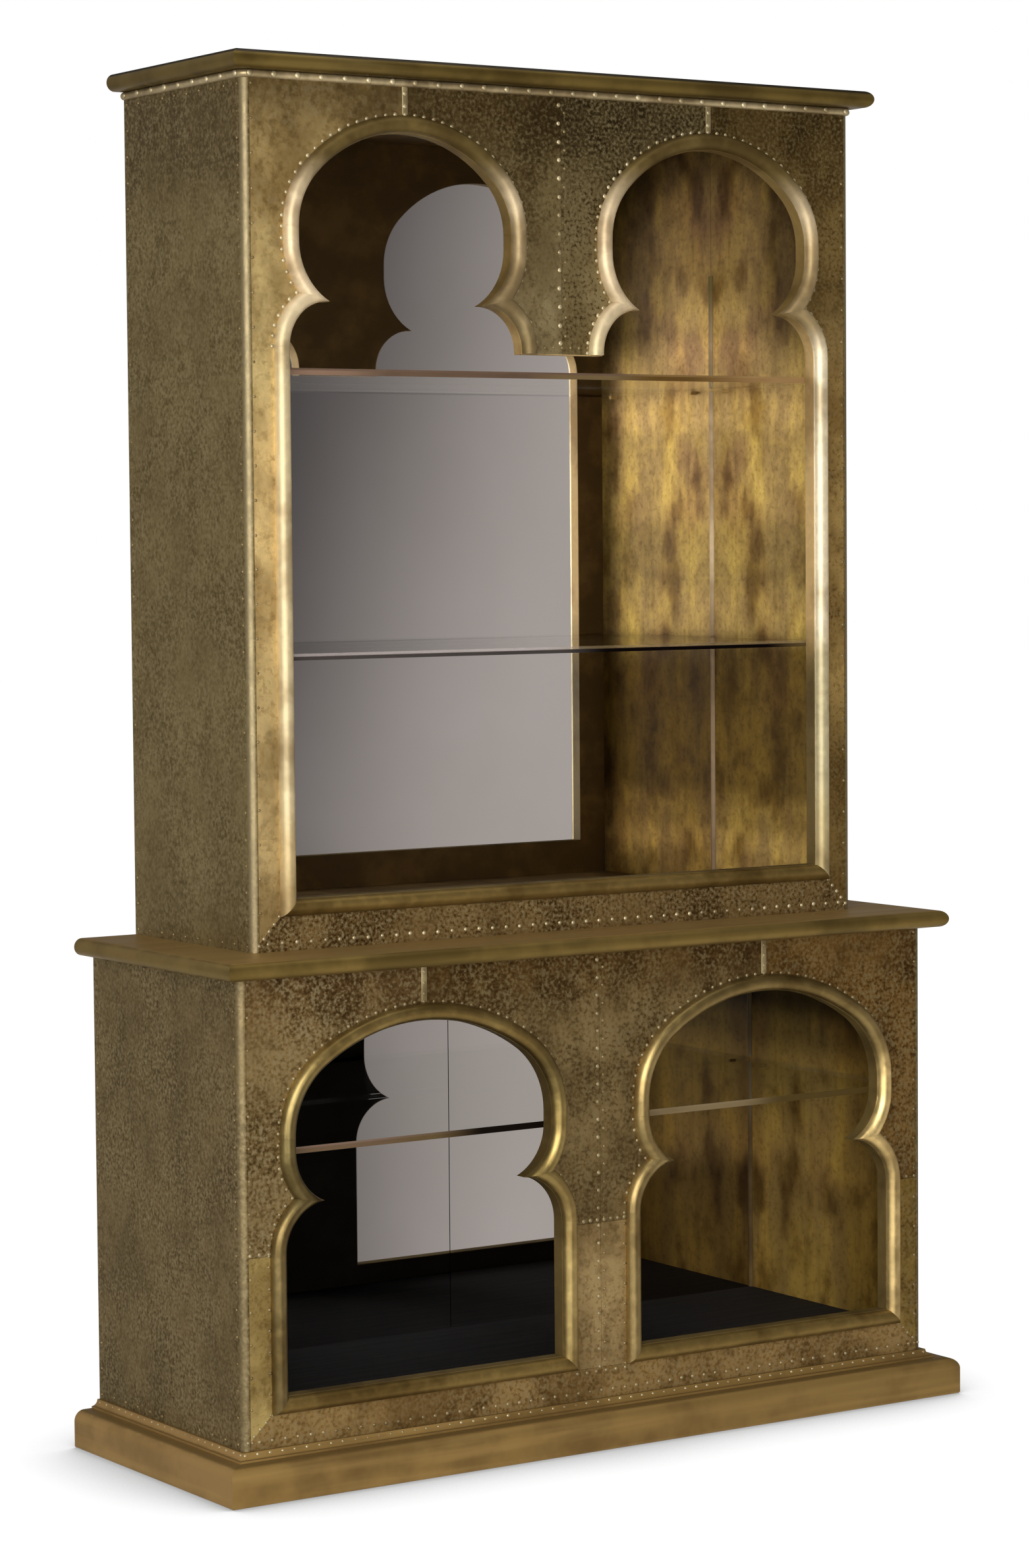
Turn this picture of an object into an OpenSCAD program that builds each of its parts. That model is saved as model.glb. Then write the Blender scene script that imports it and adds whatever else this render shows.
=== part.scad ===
// Display bookcase in two parts: a hutch with a pair of keyhole arches stands on a deeper base cabinet.
// Timber boards carry thin hammered brass sheets, half-round brass lips frame the arches,
// mirrors line the backs and the shelves are glass.
// X is the width, -Y is the front, Z is up. The origin is the middle of the footprint on the floor.

/* [Overall] */
// Height of the whole bookcase
total_h = 2134; // [2060:1:2240]
// Width of the base cabinet's body
base_w = 1285; // [1240:1:1340]
// Depth of the base cabinet's body
base_d = 455; // [420:1:520]
// Height of the base cabinet up to the middle slab
base_h = 772; // [750:1:810]
// How far the hutch's sides stand in from the base's sides
hutch_inset = 75.5; // [60:0.5:95]
// How far the hutch's front stands back from the base's front
hutch_setback = 88; // [70:1:110]

/* [Slabs, plinth and bead] */
// Thickness of the middle slab and of the top slab
slab_t = 27; // [22:1:32]
// Overhang of the middle slab at the front and the sides
mid_out = 33; // [24:1:40]
// Overhang of the top slab at the front and the sides
top_out = 30; // [20:1:40]
// Height of the plinth moulding
plinth_h = 72; // [66:1:80]
// How far the plinth moulding stands out
plinth_out = 45; // [40:1:55]
// Radius of the plinth's round shoulder
shoulder_r = 17; // [10:1:20]
// Radius of the hollow under the plinth's top edge
cove_r = 10; // [6:1:11]
// Height of the bead under the top slab
bead_h = 12; // [8:0.5:14]

/* [Boards and sheets] */
// Thickness of the side boards
side_t = 20; // [16:1:24]
// Thickness of the arched front boards
front_t = 20; // [16:1:24]
// Thickness of the decks and the ceilings
deck_t = 20; // [16:1:24]
// Height of the base deck's top above the floor
deck_h = 112; // [100:1:130]
// Thickness of the back boards
back_t = 12; // [8:1:16]
// Thickness of the brass sheets
sheet_t = 1; // [0.6:0.1:1.5]
// Gap between two sheets at a seam
seam = 0.4; // [0.2:0.1:0.6]
// Radius of the cabinets' upright front corners
corner_r = 12; // [8:1:16]

/* [Front openings] */
// Width of the stiles outside the openings
stile_w = 74; // [66:1:84]
// Width of the base's middle column
column_w = 145; // [130:1:160]
// Width of the hutch's hanging middle piece
pendant_w = 150; // [136:1:164]
// Height of the hutch's sill above the middle slab
hutch_sill_h = 77; // [66:1:90]
// Height of the base's sill above the floor
base_sill_h = 146; // [136:1:156]
// Height of the hutch's front above its arches
hutch_head_h = 80; // [70:1:90]
// Height of the base's front above its arches
base_head_h = 82; // [72:1:92]

/* [Arches] */
// How far an arch's widest part stays inside its jamb
arch_inset = 18; // [12:1:24]
// Straight height between an arch's upper and lower curves
arch_straight = 22; // [14:1:30]
// Rise of a hutch arch from its widest part to its crown
hutch_rise = 147; // [140:1:156]
// Radius of a hutch arch's upper side curves
hutch_haunch_r = 114; // [106:1:120]
// Radius of a hutch arch's lower side curves
hutch_lobe_r = 100; // [90:1:110]
// How far a hutch cusp reaches in from its jamb
hutch_reach = 69.5; // [62:0.5:76]
// Radius of the hutch's shoulder under a cusp
hutch_shoulder_r = 69.5; // [64:0.5:74]
// Rise of a base arch from its widest part to its crown
base_rise = 158; // [150:1:166]
// Radius of a base arch's upper side curves
base_haunch_r = 125; // [118:1:132]
// Radius of a base arch's lower side curves
base_lobe_r = 85; // [78:1:92]
// How far a base cusp reaches in from its jamb
base_reach = 66; // [60:1:72]
// Radius of the base's shoulder under a cusp
base_shoulder_r = 75; // [70:1:80]

/* [Lips] */
// Width of the half-round lips
lip_w = 25; // [20:1:30]
// Flat thickness of a lip under its round
lip_step = 2; // [1:0.5:4]
// How far the hanging piece goes on under its shoulders
pendant_drop = 3; // [2:0.5:8]

/* [Mirrors, glass and fittings] */
// Thickness of the mirrors
mirror_t = 6; // [4:1:8]
// Clearance round the mirrors and the glass shelves
glass_gap = 1.5; // [1:0.5:3]
// Thickness of the glass shelves
glass_t = 10; // [6:1:12]
// Height of the hutch's upper shelf, underside
upper_shelf_z = 1661; // [1600:1:1690]
// Height of the hutch's lower shelf, underside
lower_shelf_z = 1233; // [1150:1:1300]
// Height of the base's shelf, underside
base_shelf_z = 503; // [450:1:560]
// Diameter of the shelf pins
pin_d = 7; // [5:0.5:9]
// Depth of a pin's hole in its side board
pin_in = 12; // [8:1:14]
// How far a pin stands out under its shelf
pin_out = 14; // [10:1:20]
// Distance of the pins from the front board and from the mirror
pin_edge = 45; // [30:1:80]
// Diameter of the bolts that join the hutch to the base
bolt_d = 8; // [6:1:10]
// Distance of the bolts from the hutch's sides
bolt_edge = 90; // [60:1:140]

/* [Hidden] */

BRASS = "#8a7440";
BRIGHT = "#c8b070";
PATINA = "#7a6530";
BLACK = "#1c1a18";
TIMBER = "#a07f55";
MIRROR = "#b8bcc0";
GLASS = "#9fc2b4";
STEEL = "#9a9a9a";

$fn = 96;
// How far cutting solids reach past what they cut
past = 1;
// How far the trim's arcs run on past a cusp before its mitre is cut, in degrees
cusp_turn = 3;
// Room round a pin or a bolt in its hole
hole_gap = 0.1;
// Room that a length of lip or of edge strip leaves at each of its ends
joint = 0.05;
// Height of the sheets' lower edge above the floor
sheet_lift = 5;

// Width of the hutch's body
hutch_w = base_w - 2 * hutch_inset;
// Planes of the front and the back
y_back = (base_d + plinth_out) / 2;
y_base = y_back - base_d;
y_hutch = y_base + hutch_setback;
// Back faces of the front boards
y_base_in = y_base + sheet_t + front_t;
y_hutch_in = y_hutch + sheet_t + front_t;
// Faces of the back boards and of the mirrors
y_board = y_back - back_t;
y_mirror = y_board - mirror_t;
// Half widths inside the side boards
base_in = base_w / 2 - sheet_t - side_t;
hutch_in = hutch_w / 2 - sheet_t - side_t;
// Levels of the hutch
z_hutch = base_h + slab_t;
z_top = total_h - slab_t;
hutch_sill_z = z_hutch + hutch_sill_h;
// Half widths of the openings at their jambs, and the arches' centres
base_jamb = (base_w / 2 - stile_w - column_w / 2) / 2;
hutch_jamb = (hutch_w / 2 - stile_w - pendant_w / 2) / 2;
base_x = column_w / 2 + base_jamb;
hutch_x = pendant_w / 2 + hutch_jamb;

// An arch on its own centre line, in the plane of the front. The crown is one wide arc,
// the haunches carry it round to the widest part, the lobes turn in to the cusps,
// and the shoulders run from the cusps down to the jambs.
function arch(jamb, crown, rise, haunch_r, lobe_r, reach, shoulder_r) =
    let (half = jamb - arch_inset, across = half - haunch_r, up = rise - haunch_r,
        drop = (across * across - up * up) / (2 * up), haunch_z = crown - rise,
        lobe_x = half - lobe_r, lobe_z = haunch_z - arch_straight, cusp_x = jamb - reach,
        cusp_z = lobe_z - sqrt(pow(lobe_r, 2) - pow(cusp_x - lobe_x, 2)),
        foot_x = jamb - shoulder_r, foot_z = cusp_z - sqrt(pow(shoulder_r, 2) - pow(cusp_x - foot_x, 2)))
    [[0, haunch_z - drop], rise + drop, [across, haunch_z], haunch_r, [lobe_x, lobe_z], lobe_r,
        [foot_x, foot_z], shoulder_r, [cusp_x, cusp_z], jamb, half];

function crown_c(a) = a[0];
function crown_r(a) = a[1];
function haunch_c(a) = a[2];
function haunch_r(a) = a[3];
function lobe_c(a) = a[4];
function lobe_r(a) = a[5];
function shoulder_c(a) = a[6];
function shoulder_r(a) = a[7];
function cusp(a) = a[8];
function jamb(a) = a[9];
function half(a) = a[10];
function bearing(from, to) = atan2(to.y - from.y, to.x - from.x);

// Where the lobe and the shoulder cross when both stand off the opening's edge by s
function meet(a, s) =
    let (p = lobe_c(a), q = shoulder_c(a), u = lobe_r(a) + s, v = shoulder_r(a) + s,
        d = norm(q - p), e = (q - p) / d, t = (u * u - v * v + d * d) / (2 * d))
    p + t * e + sqrt(u * u - t * t) * [-e.y, e.x];

base_arch = arch(base_jamb, base_h - base_head_h, base_rise, base_haunch_r, base_lobe_r,
    base_reach, base_shoulder_r);
hutch_arch = arch(hutch_jamb, z_top - hutch_head_h, hutch_rise, hutch_haunch_r, hutch_lobe_r,
    hutch_reach, hutch_shoulder_r);
pendant_z = shoulder_c(hutch_arch).y - pendant_drop;

// Opening of one arch down to its sill, grown outwards all round
module arch_opening(a, sill, grow = 0) {
    reach = 2 * crown_r(a);
    ray = reach / norm(haunch_c(a) - crown_c(a)) * (haunch_c(a) - crown_c(a));
    translate(crown_c(a)) intersection() {
        circle(r = crown_r(a) + grow);
        polygon([[0, 0], ray, [ray.x, reach], [-ray.x, reach], [-ray.x, ray.y]]);
    }
    for (m = [0, 1]) mirror([m, 0]) {
        translate(haunch_c(a)) circle(r = haunch_r(a) + grow);
        translate(lobe_c(a)) circle(r = lobe_r(a) + grow);
        translate(shoulder_c(a)) circle(r = shoulder_r(a) + grow);
        polygon([[0, haunch_c(a).y], [half(a) + grow, haunch_c(a).y], [half(a) + grow, lobe_c(a).y],
            lobe_c(a), shoulder_c(a), [jamb(a) + grow, shoulder_c(a).y],
            [jamb(a) + grow, sill - grow], [0, sill - grow]]);
    }
}

module base_openings(grow = 0) {
    for (m = [-1, 1]) translate([m * base_x, 0]) arch_opening(base_arch, base_sill_h, grow);
}

module hutch_opening(grow = 0) {
    for (m = [-1, 1]) translate([m * hutch_x, 0]) arch_opening(hutch_arch, hutch_sill_z, grow);
    half_w = hutch_x + hutch_jamb + grow;
    translate([-half_w, hutch_sill_z - grow])
        square([2 * half_w, pendant_z - hutch_sill_z + 2 * grow]);
}

// Extrudes a front view from one depth to a deeper one
module front_view(y0, y1) {
    translate([0, y1, 0]) rotate([90, 0, 0]) linear_extrude(y1 - y0) children();
}

module both_sides() {
    for (m = [0, 1]) mirror([m, 0, 0]) children();
}

module on_right() {
    mirror([1, 0, 0]) children();
}

// A board from its lowest corner to its highest
module board(low, high) {
    translate(low) cube(high - low);
}

// Plan of a cabinet, its front at zero, with round front corners
module plan(w, d, r) {
    translate([-w / 2 + r, 0]) square([w - 2 * r, d]);
    translate([-w / 2, r]) square([w, d - r]);
    for (m = [-1, 1]) translate([m * (w / 2 - r), r]) circle(r = r);
}

// Arched front board with round corners, less the openings
module front_board(w, y, z0, z1) {
    difference() {
        translate([0, y + sheet_t, z0]) linear_extrude(z1 - z0)
            plan(w - 2 * sheet_t, front_t, corner_r - sheet_t);
        front_view(y - past, y + sheet_t + front_t + past) children();
    }
}

// Left side board, with the holes for its shelf pins
module side_board(inner, y0, z0, z1, shelves) {
    difference() {
        board([-inner - side_t, y0, z0], [-inner, y_back, z1]);
        pin_holes(inner, y0, shelves);
    }
}

// Brass sheet over the left side, wrapped round the front corner
module side_sheet(w, y, z0, z1) {
    translate([0, y, z0]) linear_extrude(z1 - z0) intersection() {
        difference() {
            plan(w, y_back - y, corner_r);
            translate([0, sheet_t]) plan(w - 2 * sheet_t, y_back - y + past, corner_r - sheet_t);
        }
        translate([-w / 2, 0]) square([corner_r, y_back - y]);
    }
}

// Patinated sheet on the inside of the left side board, with its pin holes
module lining(inner, y0, z0, z1, shelves) {
    difference() {
        board([-inner, y0, z0], [-inner + sheet_t, y_mirror, z1]);
        pin_holes(inner, y0, shelves);
    }
}

function pin_rows(y0) = [y0 + pin_edge, y_mirror - pin_edge];

module pin_holes(inner, y0, shelves) {
    for (z = shelves, y = pin_rows(y0))
        translate([-inner - pin_in, y, z - pin_d / 4]) rotate([0, 90, 0])
            cylinder(d = pin_d + 2 * hole_gap, h = pin_in + sheet_t + past);
}

// Shelf pin with a flat seat for the glass
module pin(inner) {
    difference() {
        translate([-inner - pin_in, 0, -pin_d / 4]) rotate([0, 90, 0])
            cylinder(d = pin_d, h = pin_in + pin_out);
        translate([-inner + sheet_t + hole_gap, -pin_d, 0]) cube([pin_out + past, 2 * pin_d, pin_d]);
    }
}

module pins(inner, y0, shelves) {
    both_sides() for (z = shelves, y = pin_rows(y0)) translate([0, y, z]) pin(inner);
}

module glass_shelf(inner, y0, z) {
    half_w = inner - sheet_t - glass_gap;
    board([-half_w, y0 + glass_gap, z], [half_w, y_mirror - glass_gap, z + glass_t]);
}

// Slab with a bullnose at the front and the sides, mitred at the corners
module slab(w, y, z, out) {
    r = slab_t / 2;
    half_w = w / 2 + out;
    intersection() {
        translate([-half_w, 0, z]) rotate([90, 0, 90]) linear_extrude(2 * half_w) {
            translate([y - out + r, 0]) square([y_back - y + out - r, slab_t]);
            translate([y - out + r, r]) circle(r = r);
        }
        translate([0, y_back + past, z]) rotate([90, 0, 0]) linear_extrude(y_back - y + out + 2 * past) {
            translate([-half_w + r, 0]) square([2 * (half_w - r), slab_t]);
            for (m = [-1, 1]) translate([m * (half_w - r), r]) circle(r = r);
        }
    }
}

// Step between the cove and the round shoulder, neck at the top and round at the foot
plinth_step = 3;
plinth_neck = 4.5;
plinth_toe = 4;

// Section of the plinth moulding, standing out along X from the body's face. It starts behind
// the face, so that it fills the room that the body's round corner leaves.
module plinth_section() {
    cove_foot = plinth_h - cove_r;
    shelf_z = cove_foot - plinth_step;
    difference() {
        union() {
            square([plinth_out, shelf_z - shoulder_r]);
            square([plinth_out - shoulder_r, shelf_z]);
            translate([plinth_out - shoulder_r, shelf_z - shoulder_r]) circle(r = shoulder_r);
            square([plinth_neck + cove_r, cove_foot]);
            translate([-corner_r, 0]) square([corner_r + plinth_neck, plinth_h]);
            translate([plinth_neck, cove_foot]) square(cove_r);
        }
        translate([plinth_neck + cove_r, plinth_h]) circle(r = cove_r);
        translate([plinth_out - plinth_toe, 0]) toe_corner();
    }
}

// Corner that is taken off the plinth's lower edge to leave it round
module toe_corner() {
    difference() {
        translate([0, -past]) square([plinth_toe + past, plinth_toe + past]);
        translate([0, plinth_toe]) circle(r = plinth_toe);
    }
}

// Space that the base's body takes within the plinth
module base_body() {
    translate([0, y_base, -past]) linear_extrude(plinth_h + 2 * past) plan(base_w, base_d + past, corner_r);
}

// Section of a lip, from the opening's edge outwards and from the sheet's face up
module lip_section() {
    square([lip_w, lip_step]);
    translate([lip_w / 2, lip_step]) intersection() {
        circle(r = lip_w / 2);
        translate([-lip_w / 2, 0]) square([lip_w, lip_w / 2]);
    }
}

// Section of the strip that covers the front board's edge inside the opening
module strip_section() {
    translate([-sheet_t, -sheet_t - front_t]) square([sheet_t, sheet_t + front_t]);
}

// Trim with the section given as a child, round an arc of the opening between two angles.
// Each length of trim ends just short of the next one, which it butts against.
module trim_arc(centre, r, from, to) {
    short = joint / r * 180 / PI;
    translate([centre.x, centre.y, 0]) rotate([0, 0, from + short])
        rotate_extrude(angle = to - from - 2 * short) translate([r, 0]) children();
}

// Straight trim from a point downwards, standing off to the right
module trim_run(start, length) {
    translate([start.x, start.y - joint, 0]) rotate([90, 0, 0]) linear_extrude(length - 2 * joint)
        children();
}

// Trim over the crown of an arch
module trim_crown(a) {
    tilt = bearing(crown_c(a), haunch_c(a));
    trim_arc(crown_c(a), crown_r(a), tilt, 180 - tilt) children();
}

// Trim on the right side of an arch, from the crown's end down to the foot of the shoulder,
// with a mitre where the lobe's trim meets the shoulder's
module trim_side(a) {
    valley = meet(a, lip_w + past);
    inward = meet(a, -past) - valley;
    tip = valley + 4 * lip_w * inward / norm(inward);
    trim_arc(haunch_c(a), haunch_r(a), 0, bearing(crown_c(a), haunch_c(a))) children();
    trim_run([half(a), haunch_c(a).y], arch_straight) children();
    difference() {
        trim_arc(lobe_c(a), lobe_r(a), bearing(lobe_c(a), cusp(a)) - cusp_turn, 0) children();
        cut_trim([tip, valley, valley - [0, 2 * lip_w], tip - [0, 2 * lip_w]], joint);
    }
    difference() {
        trim_arc(shoulder_c(a), shoulder_r(a), 0, bearing(shoulder_c(a), cusp(a)) + cusp_turn) children();
        cut_trim([tip, valley, valley + [0, 2 * lip_w], tip + [0, 2 * lip_w]], -joint);
    }
}

// Straight trim of a jamb down to the sill, mitred at its foot
module trim_jamb(x, top, sill) {
    difference() {
        trim_run([x, top], top - sill + lip_w) children();
        cut_trim([[x - lip_w, sill + lip_w], [x + 2 * lip_w, sill - 2 * lip_w],
            [x - lip_w, sill - 2 * lip_w]], joint);
    }
}

// Trim of a sill between two jambs, mitred at both ends
module trim_sill(half_w, sill) {
    far = half_w + lip_w;
    difference() {
        translate([far, sill, 0]) rotate([0, 0, -90]) trim_run([0, 0], 2 * far) children();
        both_sides() cut_trim([[half_w - lip_w, sill + lip_w], [far + lip_w, sill + lip_w],
            [far + lip_w, sill - 2 * lip_w]], -joint);
    }
}

// Cuts trim along lines in the front view, moved up by a little
module cut_trim(points, up) {
    depth = sheet_t + front_t + past;
    translate([0, up, -depth]) linear_extrude(depth + lip_w) polygon(points);
}

// Puts trim that is drawn in the front view on a sheet's face
module on_face(y) {
    translate([0, y, 0]) rotate([90, 0, 0]) children();
}

// Brass sheet on a front: the part of the front inside an outline, less the openings
module front_sheet(y, outline) {
    front_view(y, y + sheet_t) difference() {
        polygon(outline);
        children();
    }
}

// Left half outlines of the hutch's sheets. The seams run up from the arches' crowns,
// down the middle, and from the sill's corners to the hutch's lower corners.
hutch_edge = hutch_w / 2 - corner_r - seam;
hutch_corner = hutch_x + hutch_jamb;
function on_mitre(x, corner, edge, top, bottom) = top - (x - corner) * (top - bottom) / (edge - corner);
hutch_left_outline = [[-hutch_edge, z_top - bead_h], [-hutch_x - seam / 2, z_top - bead_h],
    [-hutch_x - seam / 2, hutch_sill_z], [-hutch_corner, hutch_sill_z + seam],
    [-hutch_edge, on_mitre(hutch_edge, hutch_corner, hutch_w / 2, hutch_sill_z, z_hutch) + seam]];
hutch_mid_outline = [[-hutch_x + seam / 2, z_top - bead_h], [-seam / 2, z_top - bead_h],
    [-seam / 2, pendant_z], [-hutch_x + seam / 2, pendant_z]];
hutch_sill_outline = let (edge_z = on_mitre(hutch_edge, hutch_corner, hutch_w / 2, hutch_sill_z, z_hutch))
    [[-hutch_corner, hutch_sill_z], [hutch_corner, hutch_sill_z], [hutch_edge, edge_z],
    [hutch_edge, z_hutch], [-hutch_edge, z_hutch], [-hutch_edge, edge_z]];

// Left half outlines of the base's sheets. More seams cross the stiles and the column
// where the shoulders end.
base_edge = base_w / 2 - corner_r - seam;
base_corner = base_x + base_jamb;
stile_seam_z = shoulder_c(base_arch).y - seam;
// How much lower the column's seam lies than the stiles' seams
column_seam_drop = 10;
column_seam_z = stile_seam_z - column_seam_drop;
base_left_outline = [[-base_edge, base_h], [-base_x - seam / 2, base_h],
    [-base_x - seam / 2, stile_seam_z], [-base_edge, stile_seam_z]];
base_mid_outline = [[-base_x + seam / 2, base_h], [-seam / 2, base_h], [-seam / 2, column_seam_z],
    [-base_x + seam / 2, column_seam_z]];
base_mitre_z = on_mitre(base_edge, base_corner, base_w / 2, base_sill_h, plinth_h);
base_stile_outline = [[-base_edge, stile_seam_z - seam], [-base_corner + past, stile_seam_z - seam],
    [-base_corner + past, base_sill_h], [-base_corner, base_sill_h + seam],
    [-base_edge, base_mitre_z + seam]];
column_foot_z = base_sill_h - lip_w;
base_column_outline = [[-column_w / 2 - past, column_seam_z - seam], [-seam / 2, column_seam_z - seam],
    [-seam / 2, column_foot_z], [-column_w / 2 - past, column_foot_z]];
base_sill_outline = [[-base_corner, base_sill_h], [-column_w / 2 - past, base_sill_h],
    [-column_w / 2 - past, column_foot_z - seam], [-seam / 2, column_foot_z - seam],
    [-seam / 2, sheet_lift], [-base_edge, sheet_lift], [-base_edge, base_mitre_z]];

// Base cabinet

module base_side_left() {
    color(TIMBER) side_board(base_in, y_base_in, 0, base_h, [base_shelf_z]);
}

module base_side_right() {
    on_right() base_side_left();
}

module base_front_panel() {
    color(BLACK) front_board(base_w, y_base, 0, base_h) base_openings();
}

module base_deck() {
    color(BLACK) board([-base_in, y_base_in, deck_h - deck_t], [base_in, y_board, deck_h]);
}

module base_ceiling() {
    color(BLACK) difference() {
        board([-base_in, y_base_in, base_h - deck_t], [base_in, y_board, base_h]);
        bolt_holes();
    }
}

module base_back_panel() {
    color(BLACK) board([-base_in, y_board, 0], [base_in, y_back, base_h]);
}

module base_mirror_left() {
    color(MIRROR) board([-base_in + glass_gap, y_mirror, deck_h],
        [-glass_gap / 2, y_board, base_h - deck_t - glass_gap]);
}

module base_mirror_right() {
    on_right() base_mirror_left();
}

module base_shelf() {
    color(GLASS, 0.5) glass_shelf(base_in, y_base_in, base_shelf_z);
}

module base_shelf_pins() {
    color(STEEL) pins(base_in, y_base_in, [base_shelf_z]);
}

module base_side_sheet_left() {
    color(BRASS) side_sheet(base_w, y_base, sheet_lift, base_h);
}

module base_side_sheet_right() {
    on_right() base_side_sheet_left();
}

module base_sheet_left() {
    color(BRASS) front_sheet(y_base, base_left_outline) base_openings();
}

module base_sheet_mid_left() {
    color(BRASS) front_sheet(y_base, base_mid_outline) base_openings();
}

module base_sheet_mid_right() {
    on_right() base_sheet_mid_left();
}

module base_sheet_right() {
    on_right() base_sheet_left();
}

module base_stile_sheet_left() {
    color(BRASS) front_sheet(y_base, base_stile_outline) base_openings();
}

module base_stile_sheet_right() {
    on_right() base_stile_sheet_left();
}

module base_column_sheets() {
    color(BRASS) both_sides() front_sheet(y_base, base_column_outline) base_openings();
}

module base_sill_sheets() {
    color(BRASS) both_sides() front_sheet(y_base, base_sill_outline) base_openings();
}

module base_lining_left() {
    color(PATINA) lining(base_in, y_base_in, deck_h, base_h - deck_t, [base_shelf_z]);
}

module base_lining_right() {
    on_right() base_lining_left();
}

module base_reveal_left() {
    color(BRASS) on_face(y_base) translate([-base_x, 0, 0]) {
        base_arch_trim() strip_section();
        trim_sill(base_jamb, base_sill_h) strip_section();
    }
}

module base_reveal_right() {
    on_right() base_reveal_left();
}

// Trim round a base arch and down both its jambs
module base_arch_trim() {
    trim_crown(base_arch) children();
    both_sides() {
        trim_side(base_arch) children();
        trim_jamb(jamb(base_arch), shoulder_c(base_arch).y, base_sill_h) children();
    }
}

module base_arch_lip_left() {
    color(BRIGHT) on_face(y_base) translate([-base_x, 0, 0]) base_arch_trim() lip_section();
}

module base_arch_lip_right() {
    on_right() base_arch_lip_left();
}

module base_sill_lip_left() {
    color(BRIGHT) on_face(y_base) translate([-base_x, 0, 0])
        trim_sill(base_jamb, base_sill_h) lip_section();
}

module base_sill_lip_right() {
    on_right() base_sill_lip_left();
}

module plinth_front() {
    far = base_w / 2 + plinth_out;
    near = base_w / 2 - corner_r;
    color(BRASS) difference() {
        intersection() {
            translate([-far, y_base, 0]) rotate([90, 0, 90]) linear_extrude(2 * far)
                mirror([1, 0]) plinth_section();
            linear_extrude(plinth_h) polygon([[-near, y_base + corner_r], [near, y_base + corner_r],
                [far, y_base - plinth_out], [-far, y_base - plinth_out]]);
        }
        base_body();
    }
}

module plinth_left() {
    far = base_w / 2 + plinth_out;
    near = base_w / 2 - corner_r;
    color(BRASS) difference() {
        intersection() {
            translate([-base_w / 2, y_back, 0]) rotate([90, 0, 0]) linear_extrude(base_d + plinth_out)
                mirror([1, 0]) plinth_section();
            linear_extrude(plinth_h) polygon([[-near, y_back], [-near, y_base + corner_r],
                [-far, y_base - plinth_out], [-far, y_back]]);
        }
        base_body();
    }
}

module plinth_right() {
    on_right() plinth_left();
}

module mid_slab() {
    color(BRASS) difference() {
        slab(base_w, y_base, base_h, mid_out);
        bolt_holes();
    }
}

// Hutch

module hutch_side_left() {
    color(TIMBER) side_board(hutch_in, y_hutch_in, z_hutch, z_top, [upper_shelf_z, lower_shelf_z]);
}

module hutch_side_right() {
    on_right() hutch_side_left();
}

module hutch_front_panel() {
    color(BLACK) front_board(hutch_w, y_hutch, z_hutch, z_top) hutch_opening();
}

module hutch_deck() {
    color(BLACK) difference() {
        board([-hutch_in, y_hutch_in, z_hutch], [hutch_in, y_board, z_hutch + deck_t]);
        bolt_holes();
    }
}

module hutch_ceiling() {
    color(BLACK) board([-hutch_in, y_hutch_in, z_top - deck_t], [hutch_in, y_board, z_top]);
}

module hutch_back_panel() {
    color(BLACK) board([-hutch_in, y_board, z_hutch], [hutch_in, y_back, z_top]);
}

module hutch_mirror() {
    color(MIRROR) board([-hutch_in + glass_gap, y_mirror, z_hutch + deck_t],
        [hutch_in - glass_gap, y_board, z_top - deck_t - glass_gap]);
}

module hutch_shelf_upper() {
    color(GLASS, 0.5) glass_shelf(hutch_in, y_hutch_in, upper_shelf_z);
}

module hutch_shelf_lower() {
    color(GLASS, 0.5) glass_shelf(hutch_in, y_hutch_in, lower_shelf_z);
}

module hutch_shelf_pins() {
    color(STEEL) pins(hutch_in, y_hutch_in, [upper_shelf_z, lower_shelf_z]);
}

module hutch_side_sheet_left() {
    color(BRASS) side_sheet(hutch_w, y_hutch, z_hutch, z_top - bead_h);
}

module hutch_side_sheet_right() {
    on_right() hutch_side_sheet_left();
}

module hutch_sheet_left() {
    color(BRASS) front_sheet(y_hutch, hutch_left_outline) hutch_opening();
}

module hutch_sheet_mid_left() {
    color(BRASS) front_sheet(y_hutch, hutch_mid_outline) hutch_opening();
}

module hutch_sheet_mid_right() {
    on_right() hutch_sheet_mid_left();
}

module hutch_sheet_right() {
    on_right() hutch_sheet_left();
}

module hutch_sill_sheet() {
    color(BRASS) front_sheet(y_hutch, hutch_sill_outline) hutch_opening();
}

module hutch_lining_left() {
    color(PATINA) lining(hutch_in, y_hutch_in, z_hutch + deck_t, z_top - deck_t,
        [upper_shelf_z, lower_shelf_z]);
}

module hutch_lining_right() {
    on_right() hutch_lining_left();
}

// Trim round the left hutch arch. The outer jamb runs down to the sill, the inner one ends
// at the hanging piece's foot.
module hutch_arch_trim(foot) {
    translate([-hutch_x, 0, 0]) {
        trim_crown(hutch_arch) children();
        both_sides() trim_side(hutch_arch) children();
        trim_run([jamb(hutch_arch), shoulder_c(hutch_arch).y], foot) children();
        mirror([1, 0, 0]) trim_jamb(jamb(hutch_arch), shoulder_c(hutch_arch).y, hutch_sill_z) children();
    }
}

module hutch_reveal() {
    color(BRASS) on_face(y_hutch) {
        both_sides() hutch_arch_trim(pendant_drop + sheet_t) strip_section();
        translate([pendant_w / 2, pendant_z, 0]) rotate([0, 0, -90])
            trim_run([0, 0], pendant_w) mirror([1, 0]) strip_section();
        trim_sill(hutch_x + hutch_jamb, hutch_sill_z) strip_section();
    }
}

module hutch_arch_lip_left() {
    color(BRIGHT) on_face(y_hutch) hutch_arch_trim(pendant_drop) lip_section();
}

module hutch_arch_lip_right() {
    on_right() hutch_arch_lip_left();
}

module hutch_sill_lip() {
    color(BRIGHT) on_face(y_hutch) trim_sill(hutch_x + hutch_jamb, hutch_sill_z) lip_section();
}

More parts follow.
